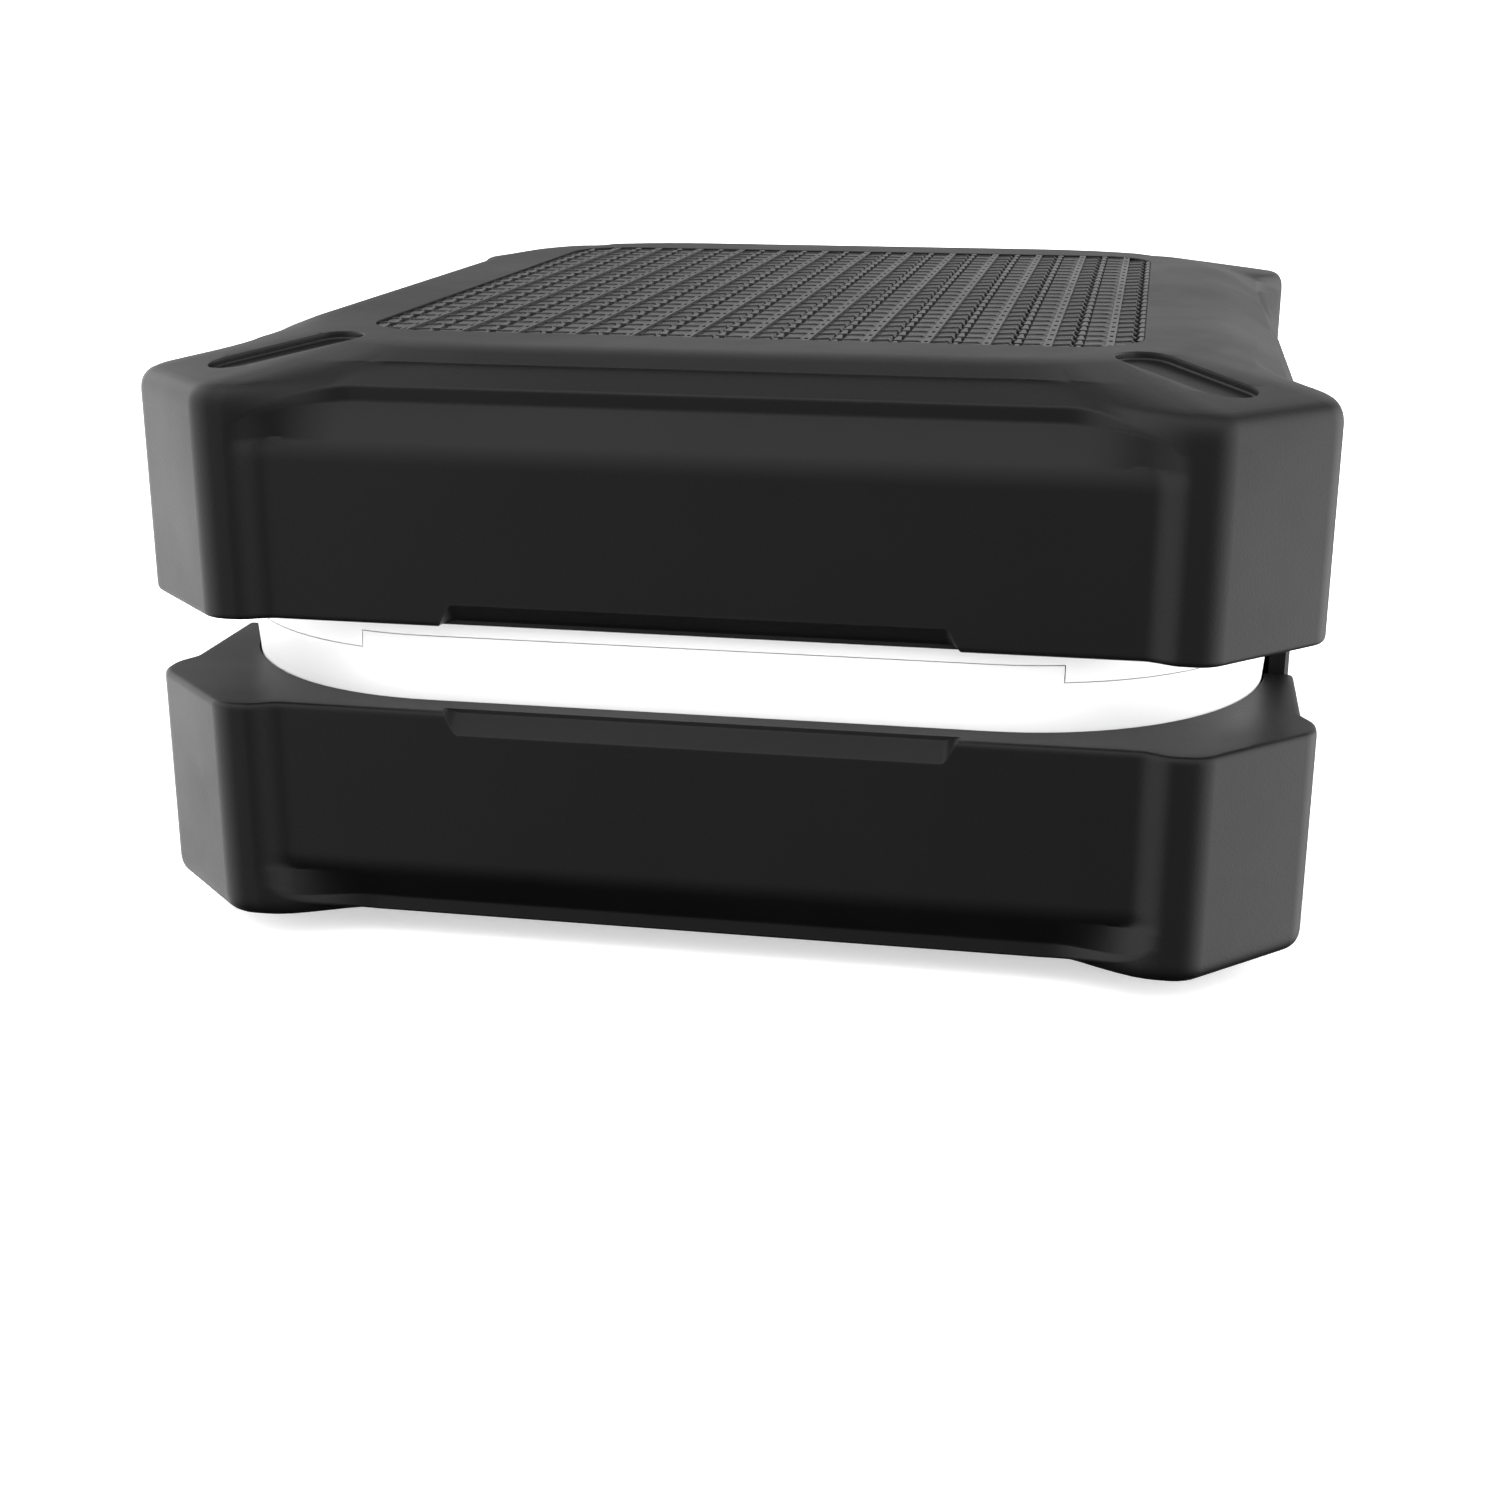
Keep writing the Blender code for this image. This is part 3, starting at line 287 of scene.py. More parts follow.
def recess_path(at, along, ledge):
    """Up the recess: rim, wall, scoop, crease, lip, and the slope to the ledge."""
    middle = sqrt(1 - min(max((SCOOP_END - along) / SCOOP_TURN, 0), 1) ** 2)
    crease_z = SHELL_HEIGHT - SCOOP_CREASE - SCOOP_SAG * (1 - middle)
    foot_z = SHELL_HEIGHT - SCOOP_FOOT
    climb = (crease_z - foot_z) / (SCOOP_FOOT - SCOOP_CREASE)
    crease_inset = mix(RECESS, SCOOP_INSET, climb)
    taper = smooth_step((along - RECESS_START) / (SCOOP_END - RECESS_START))
    lip = at(crease_inset - LIP_UNDERCUT * taper,
             crease_z + mix(LIP_LEAST, LIP_HEIGHT, taper))
    points = [at(RECESS + 3 * MM, 0), at(RECESS, 0), at(RECESS, foot_z),
              at(crease_inset, crease_z), lip, ledge]
    cuts = (RIM_FILLET, WALL_FILLET, CREASE_ROUND, LIP_ROUND)
    path = round_corners(points, cuts, (5, 6, 3, 5))
    last = path.pop()
    return path + [path[-1].lerp(last, i / 18) for i in range(1, 19)]


def wall_profile(column):
    """The path up one column, from inside the rim to inside the flat top."""
    x, y, out_x, out_y, along = column
    edge = Vector((*onto_rectangle(x, y, *PLATEAU), SHELL_HEIGHT))

    def at(inset, z):
        return Vector((x - out_x * inset, y - out_y * inset, z))

    drop = mix(POST_DROP, MIDDLE_DROP, smooth_step((along - 30 * MM) / (20 * MM)))
    corner = at(0, SHELL_HEIGHT - drop)
    post = round_corners([at(0, 0), corner, edge], (POST_TOP,), (10,))
    ledge = corner.lerp(edge, 1 - LEDGE_DROP / drop)
    path = []
    for point in recess_path(at, along, ledge - Vector((0, 0, LEDGE))):
        if point.z < 5 * MM:
            outside = point + Vector((out_x, out_y, 0)) * RECESS
        else:
            outside = point_at_height(post, point.z)
        path.append(outside.lerp(point, recess_share(along, point.z)))
    inner = edge + (edge - corner).normalized() * 9 * MM
    inner.z = SHELL_HEIGHT
    return path + round_corners([ledge, edge, inner], (EDGE_ROUND,), (6,))


profiles = [wall_profile(column) for column in columns]
rings = list(zip(*profiles))
print("rings up a shell:", len(rings))

# %% Height of the top at any place, to sink the corner slots by an even depth
skin = bmesh.new()
add_skin(skin, rings)
bmesh.ops.triangulate(skin, faces=skin.faces)
top_surface = BVHTree.FromBMesh(skin)
skin.free()


def top_height(x, y):
    hit = top_surface.ray_cast(Vector((x, y, 1)), Vector((0, 0, -1)))
    return hit[0].z


# %% Cutters for the inside, the inlay pocket and the corner slots
def node_level(turn, radius=NODE_EDGE):
    """(inset, height above the middle) on the node's rounded edge."""
    lean = NODE_STRAIGHT * tan(NODE_DRAFT) + NODE_EDGE
    return lean - radius * cos(turn), NODE_STRAIGHT + radius * sin(turn)


def node_ring(inset, z):
    plan = rounded_rectangle(NODE_X - inset, NODE_Y - inset, NODE_CORNER - inset)
    return [(x, y, z) for x, y in plan]


def inside_rings(floor):
    """The hollow that grips the node. Heights are above the shell's rim."""
    rim = UPPER_RIM - NODE_MIDDLE
    levels = [node_level(pi / 2 * i / 8) for i in range(8, -1, -1)]
    levels[0] = (levels[0][0], floor + rim)
    levels.append((rim * tan(NODE_DRAFT), rim))
    levels.append(((rim - 2 * MM) * tan(NODE_DRAFT), rim - 2 * MM))
    return [node_ring(inset - GRIP, height - rim) for inset, height in levels]


def pocket_rings():
    """The panel's pocket, with a small chamfer round its edge."""
    result = []
    for wider, z in POCKET_LEVELS:
        grow = (POCKET_GAP + wider) * MM
        plan = rounded_rectangle(PANEL.x + grow, PANEL.y + grow,
                                 (POCKET_CORNER + wider) * MM, 12)
        result.append([(x, y, SHELL_HEIGHT + z * MM) for x, y in plan])
    return result


def slot_rings(sign_x, sign_y):
    """A round-ended slot along a corner's diagonal, sunk from the sloping top."""
    outer = CHAMFER / 2 + (SLOT_MARGIN + SLOT_LENGTH / 2) * MM * DIAGONAL
    reach = (SLOT_LENGTH - 2 * SLOT_RADIUS) / 2 * MM * DIAGONAL
    result = []
    for grow, depth in SLOT_LEVELS:
        radius = (SLOT_RADIUS + grow) * MM
        ring = []
        for end in (1, -1):
            for i in range(13):
                angle = pi / 4 + pi * i / 12 - pi / 2 + (0 if end > 0 else pi)
                x = sign_x * (HALF_X - outer + end * reach + radius * cos(angle))
                y = sign_y * (HALF_Y - outer + end * reach + radius * sin(angle))
                ring.append((x, y, top_height(x, y) - depth * MM))
        result.append(ring)
    return result


# %% Cutters for the finger reliefs and the side windows
def relief_rings(end):
    """The relief in the rim: a short step, then a ramp out to the wall."""
    result = []
    for inset, height in RELIEF_LEVELS:
        right = [((RELIEF_END - RELIEF_RAMP * t) * MM, height * MM * smooth_step(t))
                 for t in (i / 8 for i in range(9))]
        outline = [(RELIEF_SIDE * MM, -2 * MM), (RELIEF_SIDE * MM, 0)] + right
        outline += [(-x, z) for x, z in reversed(outline)]
        result.append([(x, end * (WALL_Y - inset * MM), z) for x, z in outline])
    return result


def window_rings(side):
    """A window through a side wall, with round corners at its far end."""
    outline = [(-WINDOW_Y, -2 * MM), (WINDOW_Y, -2 * MM)]
    corner = 1.5 * MM
    for sign in (1, -1):
        turn = [(sign * (WINDOW_Y - corner + corner * cos(a)),
                 WINDOW_SINK - corner + corner * sin(a))
                for a in (pi / 2 * i / 5 for i in range(6))]
        outline += turn if sign > 0 else turn[::-1]
    return [[(side * x, y, z) for y, z in outline]
            for x in (WALL_X - 2 * SIDE_WALL, HALF_X + 1 * MM)]


def groove_rings():
    """The slot in the right-hand wall that takes the bridge's tongue."""
    middle, half = WALL_X - SIDE_WALL / 2, GROOVE_HALF * MM
    reach = WINDOW_Y - GROOVE_MARGIN * MM
    return [[(middle + i * half, j * reach, z) for i, j in CORNERS]
            for z in (WINDOW_SINK - 2 * MM, WINDOW_SINK + GROOVE_DEPTH * MM)]


# %% Carve both shells
def build_shell(name, rim, up, floor):
    def turned(stack):
        return [[(p[0], p[1], rim + up * p[2]) for p in ring] for ring in stack]

    bm = bmesh.new()
    add_skin(bm, turned(rings))
    obj = make_object(name + "_moulding", bm)
    bm = bmesh.new()
    add_skin(bm, turned(inside_rings(floor)))
    carve(obj, bm)
    bm = bmesh.new()
    add_skin(bm, turned(pocket_rings()))
    for sign_x, sign_y in CORNERS:
        add_skin(bm, turned(slot_rings(sign_x, sign_y)))
    for end in (-1, 1):
        add_skin(bm, turned(relief_rings(end)))
        add_skin(bm, turned(window_rings(end)))
    carve(obj, bm)
    bm = bmesh.new()
    add_skin(bm, turned(groove_rings()))
    carve(obj, bm)
    smooth(obj)
    print(obj.name, triangles(obj), "triangles")
    return obj


floor_gap = 0.3 * MM
upper = build_shell("upper_shell", UPPER_RIM, 1, node_high.z + floor_gap - UPPER_RIM)
lower = build_shell("lower_shell", LOWER_RIM, -1, LOWER_RIM - node_low.z + 2 * floor_gap)

# %% [markdown]
# ## The white node
#
# The device in the case is a block with round corners, made in two halves that
# meet at a seam. The seam steps up across the front. Both halves are hollow, so
# each is one skin that goes up the outside and back down the inside.

# %% Sizes of the seam, and the levels of one half
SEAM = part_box("socket_panel")[1].z
TAB_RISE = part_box("node_lower_housing")[1].z - SEAM
TAB_HALF, TAB_DEPTH = 58.5 * MM, 12 * MM
SEAM_GAP = 0.15 * MM
FOOT_REACH, FOOT_PLACE, FOOT_RADIUS = 49 * MM, 78 * MM, 6 * MM  # as the CAD feet
SCREW_X, SCREW_Y = 68 * MM, 60 * MM  # as the CAD screws
SCREW_PAD = ((5.1, 1), (5.1, 7))  # (radius, height above the underside), in mm
SCREW_HOLE = ((3.5, -1), (3.2, 0.3), (3.2, 2.7), (1.8, 2.7), (1.8, 8))
notch_low, notch_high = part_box("socket_panel")
print(f"seam at {1000 * SEAM:.1f} mm, tab {1000 * TAB_RISE:.1f} mm high")


def housing_rings(up, seam):
    """Rings from one end, up the outside to the seam, and down the inside."""
    turns = [pi / 2 * i / 9 for i in range(10)]
    outside = [node_level(turn) for turn in reversed(turns)]
    inside = [node_level(turn, NODE_EDGE - NODE_WALL) for turn in turns]
    lean = abs(seam) * tan(NODE_DRAFT)
    levels = [(inset, up * height) for inset, height in outside]
    if seam * up < 0:
        levels.append((0, 0))
    levels += [(lean, seam), (lean + NODE_WALL, seam)]
    if seam * up < 0:
        levels.append((NODE_WALL, 0))
    levels += [(inset, up * height) for inset, height in inside]
    return [[(x, y, z + NODE_MIDDLE) for x, y, z in node_ring(inset, height)]
            for inset, height in levels]


# %% Small solids for carving
def add_box(bm, low, high):
    low, high = Vector(low), Vector(high)
    matrix = Matrix.Translation((high + low) / 2) @ Matrix.Diagonal((*(high - low), 1))
    bmesh.ops.create_cube(bm, size=1, matrix=matrix)


def add_disc_stack(bm, x, y, levels, steps=32):
    """A turned piece on an upright axis, from (radius, height) pairs."""
    ring = [(cos(2 * pi * i / steps), sin(2 * pi * i / steps)) for i in range(steps)]
    add_skin(bm, [[(x + r * i, y + r * j, z) for i, j in ring] for r, z in levels])


def foot_plan(end, spare):
    """The plan of a rubber foot: a bar with round ends."""
    plan = []
    for side in (1, -1):
        for i in range(13):
            angle = pi * i / 12 - pi / 2 + (0 if side > 0 else pi)
            plan.append((side * FOOT_REACH + (FOOT_RADIUS + spare) * cos(angle),
                         end * FOOT_PLACE + (FOOT_RADIUS + spare) * sin(angle)))
    return plan


# %% The lower half, with its tab, pads, screw holes and foot pockets
bm = bmesh.new()
add_skin(bm, housing_rings(-1, SEAM + TAB_RISE - NODE_MIDDLE))
node_lower = make_object("node_lower_cover", bm)
SCREWS = [(i * SCREW_X, j * SCREW_Y) for i, j in CORNERS]
bottom = node_low.z
bm = bmesh.new()
for x, y in SCREWS:
    add_disc_stack(bm, x, y, [(r * MM, bottom + z * MM) for r, z in SCREW_PAD])
carve(node_lower, bm, "UNION")
bm = bmesh.new()
left, front, inner = -NODE_X - 5 * MM, -NODE_Y - 5 * MM, -NODE_Y + TAB_DEPTH
plan = [(left, front), (-TAB_HALF, front), (-TAB_HALF, inner), (TAB_HALF, inner),
        (TAB_HALF, front), (-left, front), (-left, -front), (left, -front)]
add_skin(bm, [[(x, y, z) for x, y in plan] for z in (SEAM, SEAM + 9 * MM)])
carve(node_lower, bm)
bm = bmesh.new()
add_box(bm, (left, notch_low.y - 0.3 * MM, notch_low.z - 0.3 * MM),
        (notch_high.x + 3 * MM, notch_high.y + 0.3 * MM, SEAM + 5 * MM))
carve(node_lower, bm)
bm = bmesh.new()
for end in (-1, 1):
    add_skin(bm, [[(x, y, bottom + z * MM) for x, y in foot_plan(end, 0.3 * MM)]
                  for z in (-1, 1.2)])
for x, y in SCREWS:
    add_disc_stack(bm, x, y, [(r * MM, bottom + z * MM) for r, z in SCREW_HOLE])
carve(node_lower, bm)
smooth(node_lower)
print(node_lower.name, triangles(node_lower), "triangles")

# %% The upper half
bm = bmesh.new()
add_skin(bm, housing_rings(1, SEAM + SEAM_GAP - NODE_MIDDLE))
node_upper = make_object("node_upper_cover", bm)
bm = bmesh.new()
add_box(bm, (-TAB_HALF - SEAM_GAP, -NODE_Y - 5 * MM, SEAM - 5 * MM),
        (TAB_HALF + SEAM_GAP, inner + SEAM_GAP, SEAM + TAB_RISE + SEAM_GAP))
carve(node_upper, bm)
smooth(node_upper)
print(node_upper.name, triangles(node_upper), "triangles")

# %% [markdown]
# ## The woven inlay
#
# The panel in the top looks like a coarse woven tape: ladder-like warp tapes run
# front to back, pads stand half-way between them, and strands slant across. The
# cloth repeats one small cell, so Geometry Nodes place that cell on a grid. The
# cells at the rim are then cut along the panel's rounded outline.

# %% One cell of the weave
CELL_X, CELL_Y = 10.15 * MM, 6.4 * MM
CELLS_X, CELLS_Y = 15, 26
WEAVE_DEPTH, WEAVE_LIFT = 1.0 * MM, 0.25 * MM
WEAVE_SHIFT = 1.4 * MM  # sideways, to where the photograph has the tapes
WEAVE_CORNER, BACKING_CORNER = 12.8 * MM, 12.7 * MM


def add_bar(bm, start, end, width, low, crown=0.7, end_width=None):
    """A strand from start to end in plan, with sides that lean in to its top."""
    (x0, y0, z0), (x1, y1, z1) = start, end
    run = Vector((x1 - x0, y1 - y0)).normalized()
    across = Vector((-run.y, run.x))
    widths = (width, width if end_width is None else end_width)
    rings = []
    for (x, y, z), wide in zip((start, end), widths):
        ring = []
        for side, top in ((-1, low), (1, low), (1, z), (-1, z)):
            reach = wide / 2 * (crown if top == z else 1)
            ring.append((x + across.x * side * reach, y + across.y * side * reach, top))
        rings.append(ring)
    add_skin(bm, [[tuple(MM * c for c in point) for point in ring] for ring in rings])


def weave_cell():
    """Strands of one cell, in millimetres round its middle. The tape is at x = 0."""
    bm = bmesh.new()
    floor = -0.02
    for side in (-1, 1):
        add_bar(bm, (side * 0.5, -3.2, 1.0), (side * 0.5, 3.2, 1.0), 0.42, floor, 0.85)
    add_bar(bm, (0, -3.2, 0.94), (0, 1.3, 0.97), 0.7, floor, 0.95)
    add_bar(bm, (5.07, -2.1, 0.86), (5.07, 1.7, 1.0), 1.5, floor, 0.9, 0.6)
    for y in (-2.3, -0.2, 1.9):
        add_bar(bm, (0.7, y, 0.40), (3.5, y + 0.3, 0.52), 1.2, floor, 0.5)
        add_bar(bm, (-4.3, y + 0.2, 0.58), (-0.7, y - 0.1, 0.50), 1.6, floor, 0.6)
    add_bar(bm, (0.7, -1.0, 0.66), (3.5, -0.5, 0.74), 0.36, floor, 0.6)
    add_bar(bm, (3.4, -0.5, 0.76), (4.15, -2.2, 0.5), 0.36, floor, 0.6)
    add_bar(bm, (-4.3, -1.9, 0.78), (-1.5, -1.2, 0.74), 0.36, floor, 0.6)
    add_bar(bm, (-1.6, -1.2, 0.76), (-0.7, -2.4, 0.6), 0.36, floor, 0.6)
    return make_object("weave_cell", bm)


cell = weave_cell()
print("one cell:", triangles(cell), "triangles")


# %% Geometry Nodes tree that repeats a piece on a grid
def new_tree(name, sockets):
    tree = bpy.data.node_groups.new(name, "GeometryNodeTree")
    tree.interface.new_socket("Geometry", in_out="OUTPUT",
                              socket_type="NodeSocketGeometry")
    for label, kind in sockets:
        tree.interface.new_socket(label, in_out="INPUT", socket_type="NodeSocket" + kind)
    return tree, tree.nodes.new("NodeGroupInput"), tree.nodes.new("NodeGroupOutput")


def finish_tree(tree, geometry, source, sink):
    """Every tree here ends in Realize Instances and Set Material."""
    realize = tree.nodes.new("GeometryNodeRealizeInstances")
    paint = tree.nodes.new("GeometryNodeSetMaterial")
    tree.links.new(geometry, realize.inputs["Geometry"])
    tree.links.new(realize.outputs["Geometry"], paint.inputs["Geometry"])
    tree.links.new(source.outputs["Material"], paint.inputs["Material"])
    tree.links.new(paint.outputs["Geometry"], sink.inputs["Geometry"])


def grow(name, tree, values):
    """Runs a tree on an empty mesh and keeps the result as a plain mesh."""
    obj = make_object(name, bmesh.new())
    modifier = obj.modifiers.new("nodes", "NODES")
    modifier.node_group = tree
    for item in tree.interface.items_tree:
        if item.in_out == "INPUT" and item.name in values:
            modifier[item.identifier] = values[item.name]
    mesh = evaluated_mesh(obj)
    obj.modifiers.clear()
    obj.data = mesh
    return obj


def grid_tree():
    tree, source, sink = new_tree("repeat on a grid", (
        ("Piece", "Object"), ("Material", "Material"), ("Pitch X", "Float"),
        ("Pitch Y", "Float"), ("Count X", "Int"), ("Count Y", "Int")))
    grid = tree.nodes.new("GeometryNodeMeshGrid")
    info = tree.nodes.new("GeometryNodeObjectInfo")
    place = tree.nodes.new("GeometryNodeInstanceOnPoints")
    for axis in "XY":
        less = tree.nodes.new("ShaderNodeMath")
        less.operation = "SUBTRACT"
        less.inputs[1].default_value = 1
        size = tree.nodes.new("ShaderNodeMath")
        size.operation = "MULTIPLY"
        tree.links.new(source.outputs["Count " + axis], less.inputs[0])
        tree.links.new(less.outputs[0], size.inputs[0])
        tree.links.new(source.outputs["Pitch " + axis], size.inputs[1])
        tree.links.new(size.outputs[0], grid.inputs["Size " + axis])
        tree.links.new(source.outputs["Count " + axis], grid.inputs["Vertices " + axis])
    tree.links.new(source.outputs["Piece"], info.inputs["Object"])
    tree.links.new(grid.outputs["Mesh"], place.inputs["Points"])
    tree.links.new(info.outputs["Geometry"], place.inputs["Instance"])
    finish_tree(tree, place.outputs["Instances"], source, sink)
    return tree


repeat_on_grid = grid_tree()


# %% Fill the panel, and cut the cells along its outline
def trim(obj, outline):
    """Cuts a mesh along a convex outline in plan, and closes the cuts."""
    bm = bmesh.new()
    bm.from_mesh(obj.data)
    for (x0, y0), (x1, y1) in zip(outline, outline[1:] + outline[:1]):
        geometry = bm.verts[:] + bm.edges[:] + bm.faces[:]
        cut = bmesh.ops.bisect_plane(
            bm, geom=geometry, plane_co=(x0, y0, 0), plane_no=(y1 - y0, x0 - x1, 0),
            clear_outer=True, dist=1e-7)["geom_cut"]
        edges = [item for item in cut if isinstance(item, bmesh.types.BMEdge)]
        bmesh.ops.holes_fill(bm, edges=edges)
    bm.to_mesh(obj.data)
    bm.free()


PANEL_TOP = PANEL.z
woven = bpy.data.materials.new("woven black tape")
backing = bpy.data.materials.new("dark backing cloth")
weave = grow("weave", repeat_on_grid, {
    "Piece": cell, "Material": woven, "Pitch X": CELL_X, "Pitch Y": CELL_Y,
    "Count X": CELLS_X, "Count Y": CELLS_Y})
bpy.data.objects.remove(cell)
move = Vector((WEAVE_SHIFT, 0, PANEL_TOP + WEAVE_LIFT - WEAVE_DEPTH))
weave.data.transform(Matrix.Translation(move))
trim(weave, rounded_rectangle(PANEL.x, PANEL.y, WEAVE_CORNER, 6))
print("weave:", triangles(weave), "triangles")

bm = bmesh.new()
plan = rounded_rectangle(PANEL.x, PANEL.y, BACKING_CORNER, 10)
add_skin(bm, [[(x, y, z) for x, y in plan] for z in (
    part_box("top_panel")[0].z, PANEL_TOP - WEAVE_DEPTH)])
panel_backing = make_object("woven_panel_backing", bm)
panel_backing.data.materials.append(backing)

# %% Camera, at the photograph's viewing angle
camera = bpy.data.objects.new("camera", bpy.data.cameras.new("camera"))
bpy.context.scene.collection.objects.link(camera)
camera.data.sensor_width = 36
camera.data.lens = 51.88
camera.data.clip_start = 0.01
yaw, pitch, roll = radians(-10.394), radians(-18.197), radians(0.09)
camera.location = (0.0689, -0.4429, 0.1490)
forward = Vector((sin(yaw) * cos(pitch), cos(yaw) * cos(pitch), sin(pitch)))
aim = forward.to_track_quat("-Z", "Y").to_matrix() @ Matrix.Rotation(roll, 3, "Z")
camera.rotation_euler = aim.to_euler()
bpy.context.scene.camera = camera
bpy.context.scene.view_settings.view_transform = "Standard"

# %% [markdown]
# ## Studio
#
# A pale floor inside a pale round backdrop, a wide soft box above, a weak one in
# front, and surroundings that brighten to the left and the right. The floor and
# the backdrop neither light the object nor show in its reflections, so the black
# undersides stay black.

# %% Floor and backdrop
bm = bmesh.new()
bmesh.ops.create_circle(bm, cap_ends=True, segments=64, radius=9)
floor = make_object("floor", bm)
bm = bmesh.new()
bmesh.ops.create_cone(bm, cap_ends=False, segments=64, radius1=8.5, radius2=8.5,
                      depth=8, matrix=Matrix.Translation((0, 0, 3.9)))
backdrop = make_object("backdrop", bm)
for obj in (floor, backdrop):
    obj.visible_glossy = obj.visible_diffuse = False


# %% Lights
def soft_box(name, place, size, radiance):
    """A soft box that faces the object. Its power follows from its radiance."""
    light = bpy.data.lights.new(name, "AREA")
    light.shape, light.size, light.size_y = "RECTANGLE", *size
    light.energy = radiance * pi * size[0] * size[1]
    obj = bpy.data.objects.new(name, light)
    bpy.context.scene.collection.objects.link(obj)
    obj.location = place
    to_middle = Vector((0, 0, 0.05)) - Vector(place)
    obj.rotation_euler = to_middle.to_track_quat("-Z", "Y").to_euler()


soft_box("top box", (0.0, -0.55, 1.2), (1.4, 0.9), 1.8)
soft_box("front box", (0.1, -1.7, 0.5), (1.2, 0.7), 0.7)
sun = bpy.data.objects.new("sky light", bpy.data.lights.new("sky light", "SUN"))
sun.data.energy, sun.data.angle = 2.6, radians(100)
sun.rotation_euler = (radians(18), radians(-8), 0)
bpy.context.scene.collection.objects.link(sun)


# %% Soft surroundings: bright on the left and right, dark below
def glow_towards(tree, value, start, end, strength):
    """strength, faded in where a direction's component goes from start to end."""
    fade = tree.nodes.new("ShaderNodeMapRange")
    fade.interpolation_type = "SMOOTHSTEP"
    for label, number in (("From Min", start), ("From Max", end), ("To Max", strength)):
        fade.inputs[label].default_value = number
    tree.links.new(value, fade.inputs["Value"])
    return fade.outputs["Result"]


def combine(tree, operation, a, b):
    node = tree.nodes.new("ShaderNodeMath")
    node.operation = operation
    for socket, value in zip(node.inputs, (a, b)):
        if isinstance(value, float):
            socket.default_value = value
        else:
            tree.links.new(value, socket)
    return node.outputs[0]


world = bpy.data.worlds.new("studio")
bpy.context.scene.world = world
world.use_nodes = True
tree = world.node_tree
direction = tree.nodes.new("ShaderNodeSeparateXYZ")
tree.links.new(tree.nodes.new("ShaderNodeTexCoord").outputs["Generated"],
               direction.inputs["Vector"])
x, y, z = direction.outputs
LOBES = (  # the fades in each row are multiplied, and the rows are added up
    ((x, -0.35, -0.85, 3.9),),  # left
    ((x, 0.45, 0.96, 6.3),),  # right
    ((y, 0.5, 0.95, 0.6), (x, -0.5, 0.3, 1.0)),  # behind, to the right
    ((z, 0.1, 0.25, 1.0), (z, 0.6, 0.35, 1.0), (y, 0.4, 0.8, 0.75)),  # a low band behind
    ((y, -0.3, -0.9, 0.5),))  # in front
light = 0.12
for first, *others in LOBES:
    lobe = glow_towards(tree, *first)
    for fade in others:
        lobe = combine(tree, "MULTIPLY", lobe, glow_towards(tree, *fade))
    light = combine(tree, "ADD", lobe, light)
light = combine(tree, "MULTIPLY", light, glow_towards(tree, z, -0.8, -0.4, 1.0))
tree.links.new(light, tree.nodes["Background"].inputs["Strength"])
tree.nodes["Background"].inputs["Color"].default_value = (1, 1, 1, 1)


# %% [markdown]
# ## Finishes
#
# Moulded plastic is never quite even: it has a fine spark-eroded grain, its gloss
# drifts a little where hands have rubbed it, and its edges are polished first. A
# few shared node groups give the grain and the drift as values and normals, and a
# mask of convex edges that tints them: rubbed edges on some finishes, and a painted
# highlight on the black case. Each finish then sets its own colour and gloss on the
# shader itself.

# %% Shared shader groups
def new_group(name, inputs, outputs):
    group = bpy.data.node_groups.new(name, "ShaderNodeTree")
    for label, kind, default in inputs:
        socket = group.interface.new_socket(label, in_out="INPUT",
                                            socket_type="NodeSocket" + kind)
        if default is not None:
            socket.default_value = default
    for label, kind in outputs:
        group.interface.new_socket(label, in_out="OUTPUT",
                                   socket_type="NodeSocket" + kind)
    return group, group.nodes.new("NodeGroupInput"), group.nodes.new("NodeGroupOutput")


def add_noise(tree, vector, scale, detail=3.0, roughness=0.55):
    noise = tree.nodes.new("ShaderNodeTexNoise")
    noise.inputs["Detail"].default_value = detail
    noise.inputs["Roughness"].default_value = roughness
    tree.links.new(vector, noise.inputs["Vector"])
    tree.links.new(scale, noise.inputs["Scale"])
    return noise.outputs["Fac"]


def grain_group():
    """A fine grain as a normal: noise over cells, as spark erosion leaves it."""
    group, source, sink = new_group("moulded grain", (
        ("Vector", "Vector", None), ("Scale", "Float", 2500.0),
        ("Strength", "Float", 0.3), ("Depth", "Float", 0.00004)), (("Normal", "Vector"),))
    links = group.links
    cells = group.nodes.new("ShaderNodeTexVoronoi")
    cells.feature = "SMOOTH_F1"
    links.new(source.outputs["Vector"], cells.inputs["Vector"])
    links.new(source.outputs["Scale"], cells.inputs["Scale"])
    noise = add_noise(group, source.outputs["Vector"], source.outputs["Scale"])
    total = combine(group, "ADD", cells.outputs["Distance"], noise)
    bump = group.nodes.new("ShaderNodeBump")
    links.new(total, bump.inputs["Height"])
    links.new(source.outputs["Strength"], bump.inputs["Strength"])
    links.new(source.outputs["Depth"], bump.inputs["Distance"])
    links.new(bump.outputs["Normal"], sink.inputs["Normal"])
    return group


def drift_group():
    """A slow drift between two values, for gloss and for shade."""
    group, source, sink = new_group("slow drift", (
        ("Vector", "Vector", None), ("Scale", "Float", 25.0), ("Low", "Float", 0.4),
        ("High", "Float", 0.5)), (("Value", "Float"), ("Fac", "Float")))
    noise = add_noise(group, source.outputs["Vector"], source.outputs["Scale"], 5.0, 0.6)
    fitted = group.nodes.new("ShaderNodeMapRange")
    fitted.inputs["From Min"].default_value = 0.3
    fitted.inputs["From Max"].default_value = 0.7
    group.links.new(noise, fitted.inputs["Value"])
    group.links.new(source.outputs["Low"], fitted.inputs["To Min"])
    group.links.new(source.outputs["High"], fitted.inputs["To Max"])
    group.links.new(fitted.outputs["Result"], sink.inputs["Value"])
    group.links.new(noise, sink.inputs["Fac"])
    return group


